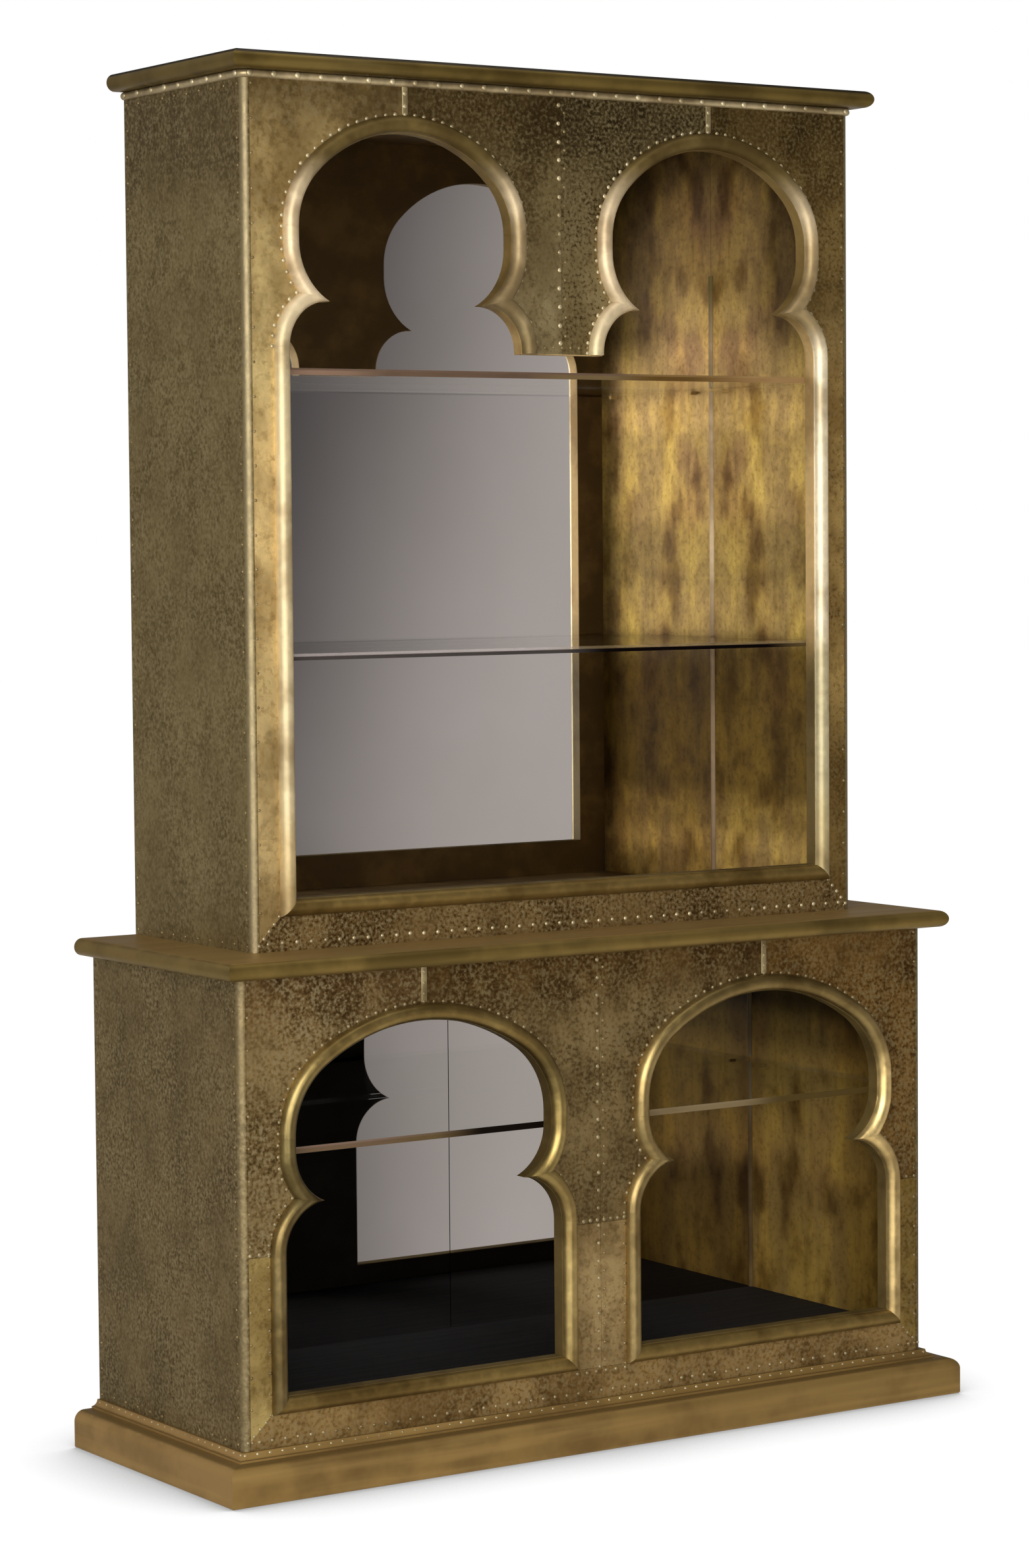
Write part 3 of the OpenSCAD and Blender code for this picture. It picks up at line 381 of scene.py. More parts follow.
LOOKS = {
    # Sheets: their tones by height are painted light and shade, darkest at the top; the light colour is the
    # ridges' painted highlight
    "hutch_left": hammered_brass("brass_hutch_left", (
        (0.165, 0.107, 0.037), (2.03, (0.50, 0.355, 0.138)), (1.86, (0.72, 0.54, 0.23)),
        (1.60, (0.78, 0.56, 0.235)), (1.24, (0.58, 0.42, 0.18))), CREAM, 0.25, 14.0, rough=0.50),
    "hutch_mid_left": hammered_brass("brass_hutch_mid_left", (
        (0.095, 0.060, 0.019), (1.99, (0.24, 0.177, 0.073)), (1.86, (0.43, 0.34, 0.17))), PALE, 0.45, 10.0),
    "hutch_mid_right": hammered_brass("brass_hutch_mid_right", (
        (0.12, 0.086, 0.033), (1.98, (0.20, 0.146, 0.062)), (1.84, (0.35, 0.265, 0.118))), PALE, 0.75, 9.0),
    "hutch_right": hammered_brass("brass_hutch_right", (
        (0.115, 0.072, 0.019), (2.0, (0.24, 0.154, 0.045)), (1.78, (0.33, 0.22, 0.075)),
        (1.68, (0.50, 0.328, 0.105)), (1.13, (0.25, 0.155, 0.043))), PALE, 0.5, 9.0),
    "hutch_sill": hammered_brass("brass_hutch_sill", ((0.26, 0.165, 0.058),), CREAM, 0.75, 9.0),
    "base_left": hammered_brass("brass_base_left", (
        (0.19, 0.112, 0.038), (0.70, (0.29, 0.20, 0.08))), CREAM, 0.6, 9.0),
    "base_mid": hammered_brass("brass_base_mid", (
        (0.145, 0.080, 0.021), (0.70, (0.28, 0.195, 0.08))), PALE, 0.55, 9.0),
    "base_right": hammered_brass("brass_base_right", (
        (0.20, 0.110, 0.028), (0.62, (0.24, 0.136, 0.037))), PALE, 0.6, 9.0),
    "base_column": hammered_brass("brass_base_column", ((0.47, 0.33, 0.142),), CREAM, 0.35, 9.0),
    "base_stile_left": hammered_brass("brass_base_stile_left", ((0.56, 0.41, 0.145),), CREAM, 0.25, 10.0),
    "base_stile_right": hammered_brass("brass_base_stile_right", ((0.40, 0.268, 0.070),), PALE, 0.45, 9.0),
    "base_sill": hammered_brass("brass_base_sill", ((0.36, 0.228, 0.080),), CREAM, 0.45, 9.0),
    "hutch_side": hammered_brass("brass_hutch_side", (
        (0.145, 0.098, 0.034), (1.95, (0.22, 0.160, 0.060))), CREAM, 0.42, 9.0, rough=0.46, stained=0.45),
    "base_side": hammered_brass("brass_base_side", ((0.205, 0.143, 0.054),),
                                CREAM, 0.5, 9.0, corner=0.6, rough=0.46, stained=0.6),
    # The last colour of each moulding is the painted light and shade of its upward faces
    "top_slab": moulding_brass("brass_top_slab", (0.088, 0.057, 0.013), (0.155, 0.103, 0.025),
                               (0.22, 0.154, 0.050), SLAB_TOP, turns=0.55),
    "mid_slab": moulding_brass("brass_mid_slab", (0.13, 0.085, 0.022), (0.22, 0.145, 0.040),
                               (0.30, 0.21, 0.065), (0.335, 0.215, 0.074)),
    "plinth": moulding_brass("brass_plinth", (0.178, 0.105, 0.033), (0.27, 0.166, 0.051),
                             (0.36, 0.228, 0.075), (0.17, 0.107, 0.034), metal=0.6),
    "plinth_side": moulding_brass("brass_plinth_side", (0.25, 0.148, 0.047), (0.34, 0.205, 0.068),
                                  (0.42, 0.27, 0.095), (0.20, 0.125, 0.040), metal=0.6),
    "bead": lip_brass("brass_bead", ((0.44, 0.35, 0.20),), 1.4),
    "seam": lip_brass("brass_seam_strips", ((0.30, 0.24, 0.125),), 1.4, metal=0.6, rough=0.50),
    # hutch_lip_left takes painted shade on its right-hand side; hutch_lip_right takes painted shade at the
    # top of its right-hand side and a painted highlight lower down
    "hutch_lip_left": lip_brass("brass_hutch_lips_left", HUTCH_LIP, 1.3, metal=0.45, rough=0.46,
                                arch="hutch_arch_lip_left", right=((0.49, 0.46, 0.37),)),
    "hutch_lip_right": lip_brass(
        "brass_hutch_lips_right", HUTCH_LIP, 1.3, metal=0.45, rough=0.46, arch="hutch_arch_lip_right",
        right=((0.53, 0.49, 0.38), (1.73, (1.4, 1.46, 1.7)), (1.24, (0.9, 0.95, 0.95)))),
    # The base lips: tones by height of painted light and shade, and a painted highlight on each arch's
    # right-hand side
    "base_lip_left": lip_brass("brass_base_lips_left", (
        (0.32, 0.225, 0.078), (0.62, (0.22, 0.168, 0.066)), (0.42, (0.20, 0.145, 0.058))), 1.35,
        metal=0.85, rough=0.36, arch="base_arch_lip_left", right=((2.3, 2.3, 2.2),)),
    "base_lip_right": lip_brass("brass_base_lips_right", (
        (0.24, 0.168, 0.060), (0.62, (0.39, 0.285, 0.115)), (0.42, (0.28, 0.20, 0.080))), 1.35,
        metal=0.85, rough=0.38, arch="base_arch_lip_right", right=((2.3, 2.35, 2.5),)),
    "sill_lip": lip_brass("brass_sill_lips", ((0.22, 0.145, 0.044),), 1.35),
    # Reveals: tones by height of painted light and shade, darkest low down
    "reveal": lip_brass("brass_reveals", (
        (0.17, 0.11, 0.033), (1.75, (0.42, 0.28, 0.115)), (1.24, (0.105, 0.070, 0.022))),
        1.3, metal=0.15, rough=0.55),
    "nail": lip_brass("brass_nails", ((0.52, 0.44, 0.27),), 1.3, metal=0.7, rough=0.46),
    "dull_nail": lip_brass("brass_dull_nails", ((0.33, 0.265, 0.145),), 1.3, metal=0.6, rough=0.50),
    "worn_nail": lip_brass("brass_worn_nails", ((0.27, 0.20, 0.095),), 1.3, metal=0.7, rough=0.50),
    # Corner strips: tones by height of painted light and shade, following the linings
    "corner": lip_brass("brass_corner_strips", (
        (0.18, 0.140, 0.045), (1.79, (0.44, 0.33, 0.20)), (1.24, (0.19, 0.130, 0.075)),
        (0.8, (0.045, 0.030, 0.011)), (0.52, (0.22, 0.165, 0.085)), (0.42, (0.11, 0.070, 0.025))),
        1.2, metal=0.1, rough=0.55),
    # The hutch lining: tones by height of painted light and shade, a lit band where light comes through the
    # openings and shade under the lower shelf and at the top; front sets the painted shadow of the front
    # board
    "lining": lining_brass("brass_hutch_lining", (
        (0.20, 0.126, 0.045), (2.01, (0.28, 0.178, 0.064)), (1.80, (0.36, 0.235, 0.088)),
        (1.745, (0.54, 0.355, 0.135)), (1.60, (0.37, 0.243, 0.088)), (1.44, (0.26, 0.172, 0.060)),
        (1.32, (0.33, 0.218, 0.078)), (1.238, (0.092, 0.055, 0.015)), (0.97, (0.20, 0.126, 0.040)),
        (0.91, (0.34, 0.22, 0.078))), gold=(1.6, 1.65, 1.2), plum=(0.66, 0.57, 0.70), metal=0.3,
        flecked=0.28, front=(0.09, 1.72, (0.38, 0.37, 0.36))),
    # The base lining: tones by height of painted light and shade, darkest at the top; front sets a painted
    # shadow of the front board
    "base_lining": lining_brass("brass_base_lining", (
        (0.035, 0.021, 0.006), (0.60, (0.13, 0.082, 0.022)), (0.54, (0.235, 0.148, 0.040)),
        (0.32, (0.19, 0.120, 0.033))), gold=(1.55, 1.55, 1.1), plum=(0.70, 0.62, 0.70), metal=0.08,
        flecked=0.1, front=(-0.01, 0.05, (0.50, 0.47, 0.42))),
    "black": black_paint("black_boards", (0.082, 0.046, 0.012), sheen=0.60, gloss=0.2),
    "black_base": black_paint("black_base_boards", (0.009, 0.0065, 0.004), sheen=0.60, gloss=0.2),
    "slate": black_paint("black_base_deck", (0.0025, 0.002, 0.0018), sheen=0.66, gloss=0.1,
                         right_tone=(0.015, 0.013, 0.0125)),
    "timber": plain_timber("side_timber"),
    # Mirrors: their tints by height are painted shade on what they reflect near the right-hand lining
    "mirror": silvered_mirror("mirror_silver", (
        (0.74, 0.72, 0.68), (1.84, (1.0, 1.0, 1.0)), (1.21, (0.60, 0.56, 0.50)))),
    "base_mirror": silvered_mirror("mirror_silver_base", (
        (0.9, 0.88, 0.84), (0.50, (0.84, 0.80, 0.74)), (0.34, (0.50, 0.46, 0.40)))),
    "glass": shelf_glass("shelf_glass"),
    "clear_edge": clear_edge("shelf_glass_edges"),
    # Pins: lighter high up, with painted light to match the lit lining
    "pin": lip_brass("brass_pins", (
        (0.62, 0.42, 0.15), (1.40, (0.20, 0.13, 0.045)), (0.80, (0.20, 0.125, 0.035))),
        1.2, metal=0.1, rough=0.55),
    "steel": plain_steel("plain_steel"),
}

# Front edges of the glass shelves: the painted reflections that they pick up from left to right, those of
# the painted haze above them, how much of it shows and how high each edge is solid
SHELF_EDGES = {
    "hutch_shelf_upper": (
        ((0.170, 0.105, 0.070), (-0.35, (0.090, 0.056, 0.036)), (-0.02, (0.120, 0.080, 0.036)),
         (0.15, (0.080, 0.042, 0.010)), (0.30, (0.150, 0.085, 0.030)), (0.38, (0.24, 0.14, 0.056))),
        ((0.100, 0.062, 0.042), (0.15, (0.150, 0.090, 0.032)), (0.36, (0.25, 0.15, 0.060))),
        1.0, 7 * MM),
    "hutch_shelf_lower": (
        ((0.040, 0.033, 0.030), (0.05, (0.002, 0.001, 0.001)), (0.46, (0.080, 0.052, 0.020))),
        ((0.380, 0.320, 0.300), (0.02, (0.20, 0.14, 0.070))),
        0.45, 6 * MM),
    "base_shelf": (
        ((0.100, 0.063, 0.036), (-0.35, (0.085, 0.055, 0.024)), (-0.25, (0.005, 0.003, 0.002)),
         (0.05, (0.150, 0.108, 0.054)), (0.33, (0.060, 0.038, 0.011))),
        ((0.130, 0.085, 0.062), (-0.35, (0.100, 0.065, 0.038)), (-0.25, (0.005, 0.003, 0.002)),
         (0.05, (0.160, 0.118, 0.062)), (0.33, (0.060, 0.038, 0.011))),
        1.0, 7 * MM),
}

# Which look each CAD node takes; the first word that its name holds decides
NODE_LOOKS = (
    ("hutch_sheet_left", "hutch_left"), ("hutch_sheet_mid_left", "hutch_mid_left"),
    ("hutch_sheet_mid_right", "hutch_mid_right"), ("hutch_sheet_right", "hutch_right"),
    ("hutch_sill_sheet", "hutch_sill"), ("base_sheet_left", "base_left"),
    ("base_stile_sheet_left", "base_stile_left"), ("base_stile_sheet_right", "base_stile_right"),
    ("base_sheet_right", "base_right"), ("base_sheet_mid", "base_mid"),
    ("base_column_sheets", "base_column"), ("base_sill_sheets", "base_sill"),
    ("hutch_side_sheet", "hutch_side"), ("base_side_sheet", "base_side"), ("top_slab", "top_slab"),
    ("mid_slab", "mid_slab"), ("plinth_front", "plinth"), ("plinth", "plinth_side"),
    ("sill_lip", "sill_lip"), ("hutch_arch_lip_left", "hutch_lip_left"),
    ("hutch_arch_lip_right", "hutch_lip_right"), ("base_arch_lip_left", "base_lip_left"),
    ("base_arch_lip_right", "base_lip_right"), ("bead", "bead"), ("reveal", "reveal"),
    ("hutch_lining", "lining"), ("base_lining", "base_lining"), ("base_mirror", "base_mirror"),
    ("mirror", "mirror"), ("shelf_pins", "pin"), ("bolts", "steel"), ("shelf", "glass"),
    ("base_deck", "slate"), ("side_left", "timber"), ("side_right", "timber"), ("base_", "black_base"),
    ("panel", "black"), ("deck", "black"), ("ceiling", "black"),
)
SHARP_ANGLE = math.radians(32)
SQUARE_ON = 0.9


def dress_nodes():
    for name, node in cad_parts.items():
        look = next(look for word, look in NODE_LOOKS if word in name)
        node.data.materials.clear()
        node.data.materials.append(LOOKS[look])
        node.data.polygons.foreach_set("use_smooth", [True] * len(node.data.polygons))
        node.data.set_sharp_from_angle(angle=SHARP_ANGLE)
    for name, look in SHELF_EDGES.items():
        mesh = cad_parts[name].data
        mesh.materials.append(glass_edge(f"{name}_edge", name, *look))
        mesh.materials.append(LOOKS["clear_edge"])
        for face in mesh.polygons:
            broad = abs(face.normal.z) > SQUARE_ON
            face.material_index = 1 if face.normal.y < -SQUARE_ON else 0 if broad else 2


# Pieces that the sheets' maker adds: nails and strips

# A nail's head: its radius, its height, how deep its root is let in and how finely it is rounded, then
# how far it slips off its row, in millimetres, and by what share its size varies
NAIL_R = 3.2 * MM
NAIL_H = 1.7 * MM
NAIL_ROOT = 0.6 * MM
NAIL_SIDES = 10
NAIL_RINGS = 3
NAIL_SLIP = 0.35
NAIL_UNEVEN = 0.12
HAND = random.Random(11)
PIECE_SHARP_ANGLE = math.radians(50)


def add_piece(name, points, faces, look):
    mesh = bpy.data.meshes.new(name)
    mesh.from_pydata([tuple(point) for point in points], [], faces)
    mesh.polygons.foreach_set("use_smooth", [True] * len(mesh.polygons))
    mesh.set_sharp_from_angle(angle=PIECE_SHARP_ANGLE)
    mesh.materials.append(LOOKS[look])
    piece = bpy.data.objects.new(name, mesh)
    bpy.context.scene.collection.objects.link(piece)
    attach(piece, "root")


def prism(first, count):
    """Faces of a prism whose two rings of points follow each other from an index on."""
    sides = [(first + i, first + (i + 1) % count, first + count + (i + 1) % count, first + count + i)
             for i in range(count)]
    foot = tuple(first + i for i in reversed(range(count)))
    head = tuple(first + count + i for i in range(count))
    return sides + [foot, head]


def nail_head(points, faces, spot, normal, radius, height):
    """Adds a closed dome on a surface, its root let into the sheet."""
    turn = Vector((0, 0, 1)).rotation_difference(normal).to_matrix()
    first = len(points)
    rings = [(radius, -NAIL_ROOT)]
    for k in range(NAIL_RINGS):
        tilt = math.pi / 2 * k / NAIL_RINGS
        rings.append((radius * math.cos(tilt), height * math.sin(tilt)))
    for ring_r, ring_h in rings:
        for i in range(NAIL_SIDES):
            around = 2 * math.pi * i / NAIL_SIDES
            place = Vector((ring_r * math.cos(around), ring_r * math.sin(around), ring_h))
            points.append(spot + turn @ place)
    points.append(spot + turn @ Vector((0, 0, height)))
    faces.append(tuple(first + i for i in reversed(range(NAIL_SIDES))))
    for k in range(len(rings) - 1):
        low = first + k * NAIL_SIDES
        for i in range(NAIL_SIDES):
            j = (i + 1) % NAIL_SIDES
            faces.append((low + i, low + j, low + NAIL_SIDES + j, low + NAIL_SIDES + i))
    last = first + (len(rings) - 1) * NAIL_SIDES
    for i in range(NAIL_SIDES):
        faces.append((last + i, last + (i + 1) % NAIL_SIDES, len(points) - 1))


def nails(name, spots, normal, size=1.0, look="nail"):
    """Nails at the given places, each a little off its row and its size, as hand work is."""
    points, faces = [], []
    for spot in spots:
        slip = Vector([HAND.gauss(0, NAIL_SLIP) for axis in range(3)]) * MM
        slip -= slip.dot(normal) * normal
        scale = size * HAND.uniform(1 - NAIL_UNEVEN, 1 + NAIL_UNEVEN)
        nail_head(points, faces, spot + slip, normal, NAIL_R * scale, NAIL_H * scale)
    add_piece(name, points, faces, look)


def spaced(path, pitch):
    """Places along a path of points, evenly spaced at about the pitch, both ends included."""
    legs = [(b - a).length for a, b in zip(path, path[1:])]
    total = sum(legs)
    count = max(1, round(total / pitch))
    places = []
    for k in range(count + 1):
        left = total * k / count
        for a, b, leg in zip(path, path[1:], legs):
            if left <= leg or b is path[-1]:
                places.append(a.lerp(b, min(left / leg, 1) if leg else 0))
                break
            left -= leg
    return places


def arc(centre, radius, start, end, steps=24):
    """Points of an arc in the front view, from one angle to another, in degrees."""
    turns = [math.radians(start + (end - start) * k / steps) for k in range(steps + 1)]
    return [centre + radius * Vector((math.cos(turn), math.sin(turn))) for turn in turns]


class Arch:
    """One keyhole arch in the front view: its own centre line, radii and centres, in metres."""

    def __init__(self, lip, inset, straight, rise, haunch_r, lobe_r, reach, shoulder_r):
        low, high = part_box(lip)
        self.x = (low.x + high.x) / 2
        self.jamb = (high.x - low.x) / 2 - LIP_W
        self.crown_z = high.z - LIP_W
        half = self.jamb - inset
        across, up = half - haunch_r, rise - haunch_r
        drop = (across ** 2 - up ** 2) / (2 * up)
        haunch_z = self.crown_z - rise
        self.crown = (Vector((0, haunch_z - drop)), rise + drop)
        self.haunch = (Vector((across, haunch_z)), haunch_r)
        self.lobe = (Vector((half - lobe_r, haunch_z - straight)), lobe_r)
        gap = self.jamb - reach
        cusp_z = self.lobe[0].y - math.sqrt(lobe_r ** 2 - (gap - self.lobe[0].x) ** 2)
        foot_x = self.jamb - shoulder_r
        foot_z = cusp_z - math.sqrt(shoulder_r ** 2 - (gap - foot_x) ** 2)
        self.shoulder = (Vector((foot_x, foot_z)), shoulder_r)

    def valley(self, off):
        """Where the lobe and the shoulder cross when both stand off the opening's edge."""
        (p, a), (q, b) = self.lobe, self.shoulder
        u, v, gap = a + off, b + off, (q - p).length
        along = (u * u - v * v + gap * gap) / (2 * gap)
        way = (q - p) / gap
        return p + along * way + math.sqrt(u * u - along * along) * Vector((-way.y, way.x))

    def upper(self, off):
        """The right side's path from the crown to the valley over the shoulder."""
        tilt = math.degrees(math.atan2(self.haunch[0].y - self.crown[0].y, self.haunch[0].x))
        valley = self.valley(off) - self.lobe[0]
        path = arc(self.crown[0], self.crown[1] + off, 90, tilt)
        path += arc(self.haunch[0], self.haunch[1] + off, tilt, 0)
        path += arc(self.lobe[0], self.lobe[1] + off, 0, math.degrees(math.atan2(valley.y, valley.x)))
        return path

    def lower(self, off, foot):
        """The right side's path from the valley over the shoulder down to a level."""
        valley = self.valley(off) - self.shoulder[0]
        start = math.degrees(math.atan2(valley.y, valley.x))
        path = arc(self.shoulder[0], self.shoulder[1] + off, start, 0)
        return path + [Vector((self.jamb + off, foot))]


HUTCH_ARCH = Arch("hutch_arch_lip_right", inset=18 * MM, straight=22 * MM, rise=147 * MM,
                  haunch_r=114 * MM, lobe_r=100 * MM, reach=69.5 * MM, shoulder_r=69.5 * MM)
BASE_ARCH = Arch("base_arch_lip_right", inset=18 * MM, straight=22 * MM, rise=158 * MM,
                 haunch_r=125 * MM, lobe_r=85 * MM, reach=66 * MM, shoulder_r=75 * MM)

# Rows of nails: the rings round the arches, the seams over their crowns, the pair of rows down the
# middle, the outer stiles, the mitres at the sills' corners, the bead and the plinth. Places along a
# row are measured in from its ends, and a pitch is the room from nail to nail.
RING_OFF = LIP_W + 2.2 * MM
RING_PITCH = 17 * MM
SEAM_FOOT, SEAM_HEAD, SEAM_PITCH = 14 * MM, 9 * MM, 18 * MM
MIDDLE_X, MIDDLE_HEAD, MIDDLE_PITCH = -3.5 * MM, 12 * MM, 28 * MM
FAINT_X, FAINT_HEAD = 7 * MM, 24 * MM
EDGE_IN = 15 * MM
ROW_END = 8 * MM
CORNER_IN = 12 * MM
MITRE_PITCH = 15 * MM
PENDANT_HALF = 48 * MM
BEAD_SIZE, BEAD_PITCH, BEAD_IN = 1.5, 42 * MM, 16 * MM
NECK_SIZE, NECK_PITCH, NECK_OUT, NECK_DOWN = 0.9, 21 * MM, 4.5 * MM, 5 * MM
BACK_IN = 10 * MM


def on_front(spots, face):
    return [Vector((spot.x, face, spot.y)) for spot in spots]


def mirrored(spots):
    """The places and their mirror images across the middle of the bookcase."""
    return spots + [Vector((-spot.x, *spot[1:])) for spot in spots]


def about(arch, path):
    """A right-hand path of an arch, laid on both its sides at the arch's own place."""
    return [Vector((arch.x + side * spot.x, spot.y)) for side in (1, -1) for spot in path]


def level(x0, x1, z, pitch):
    return spaced([Vector((x0, z)), Vector((x1, z))], pitch)


def upright(x, z0, z1, pitch):
    return spaced([Vector((x, z0)), Vector((x, z1))], pitch)


def ring_rows(arch):
    """Nails round both arches of a cabinet, down to the shoulders."""
    rings = spaced(arch.upper(RING_OFF), RING_PITCH)
    shoulders = spaced(arch.lower(RING_OFF, arch.shoulder[0].y), RING_PITCH)
    return mirrored(about(arch, rings + shoulders))


def seam_rows(arch, foot, head):
    """Nails of the seams over the crowns, and of the middle seam from its foot up to the sheets' head."""
    rows = mirrored(upright(arch.x, arch.crown_z + LIP_W + SEAM_FOOT, head - SEAM_HEAD, SEAM_PITCH))
    return rows + upright(MIDDLE_X, foot, head - MIDDLE_HEAD, MIDDLE_PITCH)


def add_hutch_nails():
    low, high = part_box("hutch_side_sheet_right")
    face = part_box("hutch_sheet_right")[0].y
    sill_low, sill_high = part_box("hutch_sill_lip")
    arch = HUTCH_ARCH
    edge = high.x - EDGE_IN
    pendant_z = arch.shoulder[0].y + 14 * MM
    nails("hutch_ring_nails", on_front(ring_rows(arch), face), TO_FRONT)
    rows = mirrored(upright(edge, low.z + ROW_END, high.z - ROW_END, 52 * MM))
    nails("hutch_stile_nails", on_front(rows, face), TO_FRONT, size=0.75, look="worn_nail")
    seam = seam_rows(arch, pendant_z, high.z)
    nails("hutch_seam_nails", on_front(seam, face), TO_FRONT, size=1.2)
    faint = upright(FAINT_X, pendant_z + 12 * MM, high.z - FAINT_HEAD, MIDDLE_PITCH)
    faint += level(-PENDANT_HALF, PENDANT_HALF, pendant_z - 6 * MM, 16 * MM)
    nails("hutch_pendant_nails", on_front(faint, face), TO_FRONT, size=0.75, look="worn_nail")
    corner = Vector((high.x - CORNER_IN, low.z + 10 * MM))
    rows = mirrored(spaced([Vector((sill_high.x + 2 * MM, sill_low.z)), corner], MITRE_PITCH))
    rows += level(-edge + CORNER_IN, edge - CORNER_IN, low.z + CORNER_IN, 25 * MM)
    nails("hutch_sill_nails", on_front(rows, face), TO_FRONT)


def add_base_nails():
    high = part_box("base_side_sheet_right")[1]
    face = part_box("base_sheet_right")[0].y
    plinth_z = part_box("plinth_front")[1].z
    sill_low, sill_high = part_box("base_sill_lip_right")
    arch = BASE_ARCH
    edge = high.x - EDGE_IN
    shoulder_z = arch.shoulder[0].y
    nails("base_ring_nails", on_front(ring_rows(arch), face), TO_FRONT, size=0.85, look="dull_nail")
    outer = arch.x + arch.jamb + RING_OFF
    inner = arch.x - arch.jamb - RING_OFF
    rows = mirrored(upright(outer, sill_low.z, shoulder_z - RING_PITCH, 30 * MM))
    rows += mirrored(upright(inner, sill_low.z, shoulder_z - RING_PITCH, 30 * MM))
    rows += mirrored(upright(edge, plinth_z + CORNER_IN, high.z - ROW_END, 50 * MM))
    nails("base_stile_nails", on_front(rows, face), TO_FRONT, size=0.75, look="worn_nail")
    seam = seam_rows(arch, plinth_z + 50 * MM, high.z)
    seam += level(-inner, inner, shoulder_z - 6 * MM, 13 * MM)
    seam += mirrored(level(outer, edge, shoulder_z + 3 * MM, 13 * MM))
    nails("base_seam_nails", on_front(seam, face), TO_FRONT, size=1.0, look="dull_nail")
    faint = upright(FAINT_X, plinth_z + 60 * MM, high.z - FAINT_HEAD, MIDDLE_PITCH)
    nails("base_column_nails", on_front(faint, face), TO_FRONT, size=0.75, look="worn_nail")
    corner = Vector((high.x - 8 * MM, plinth_z + CORNER_IN))
    rows = mirrored(spaced([Vector((sill_high.x, sill_low.z)), corner], MITRE_PITCH))
    rows += level(-edge + CORNER_IN, edge - CORNER_IN, plinth_z + CORNER_IN, 22 * MM)
    rows += level(-inner, inner, sill_low.z - 6 * MM, 18 * MM)
    nails("base_sill_nails", on_front(rows, face), TO_FRONT, size=0.85, look="dull_nail")


def add_side_nails(name, sheet, foot_z):
    """Nails round the sheets on both sides of a cabinet."""
    low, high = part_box(sheet)
    front, back = low.y + 16 * MM, high.y - ROW_END
    foot, head = foot_z + 9 * MM, high.z - ROW_END
    corners = [(front, foot), (front, head), (back, head), (back, foot), (front, foot)]
    spots = []
    for start, end in zip(corners, corners[1:]):
        spots += spaced([Vector(start), Vector(end)], 40 * MM)[:-1]
    for side, label in SIDES:
        places = [Vector((side * high.x, spot.x, spot.y)) for spot in spots]
        nails(f"{name}_{label}", places, Vector((side, 0, 0)), size=0.7, look="worn_nail")


def add_bead_nails():
    """Nails along the bead under the top slab."""
    low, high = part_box("top_bead")
    middle = (low.z + high.z) / 2
    corner = high.x - BEAD_IN
    front = [Vector((spot.x, low.y, middle)) for spot in level(-corner, corner, 0, BEAD_PITCH)]
    nails("bead_nails_front", front, TO_FRONT, BEAD_SIZE)
    rows = level(low.y + BEAD_IN, high.y - BACK_IN, 0, BEAD_PITCH)
    for side, label in SIDES:
        places = [Vector((side * high.x, spot.x, middle)) for spot in rows]
        nails(f"bead_nails_{label}", places, Vector((side, 0, 0)), BEAD_SIZE)


def add_plinth_nails():
    """Nails in the plinth's neck, just under its top edge."""
    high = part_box("base_side_sheet_right")[1]
    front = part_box("base_sheet_right")[0].y - NECK_OUT
    neck_x = high.x + NECK_OUT
    row_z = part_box("plinth_front")[1].z - NECK_DOWN
    spots = [Vector((spot.x, front, row_z)) for spot in level(-high.x, high.x, 0, NECK_PITCH)]
    nails("plinth_nails_front", spots, TO_FRONT, NECK_SIZE)
    rows = level(front + 6 * MM, high.y - BACK_IN, 0, NECK_PITCH)
    for side, label in SIDES:
        places = [Vector((side * neck_x, spot.x, row_z)) for spot in rows]
        nails(f"plinth_nails_{label}", places, Vector((side, 0, 0)), NECK_SIZE)


# The flat strips over the seams, and the quarter rounds in the inside corners: their radius, how finely
# they are rounded, and where those of the hutch end
SEAM_WIDE, SEAM_THICK, SEAM_BEVEL = 10 * MM, 0.8 * MM, 1.5 * MM
STRIP_R = 5 * MM
STRIP_STEPS = 6
STRIP_HEAD = 1855 * MM


def add_seam_strips():
    """Narrow brass strips over the seams that run up from the arches' crowns."""
    half = SEAM_WIDE / 2
    section = [(-half, 0), (-half + SEAM_BEVEL, -SEAM_THICK), (half - SEAM_BEVEL, -SEAM_THICK), (half, 0)]
    for name, arch in (("hutch", HUTCH_ARCH), ("base", BASE_ARCH)):
        low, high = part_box(f"{name}_sheet_right")
        points, faces = [], []
        for side in (-1, 1):
            faces += prism(len(points), len(section))
            for z in (arch.crown_z + LIP_W + 2 * MM, high.z):
                points += [Vector((side * arch.x + x, low.y + y, z)) for x, y in section]
        add_piece(f"{name}_seam_strips", points, faces, "seam")


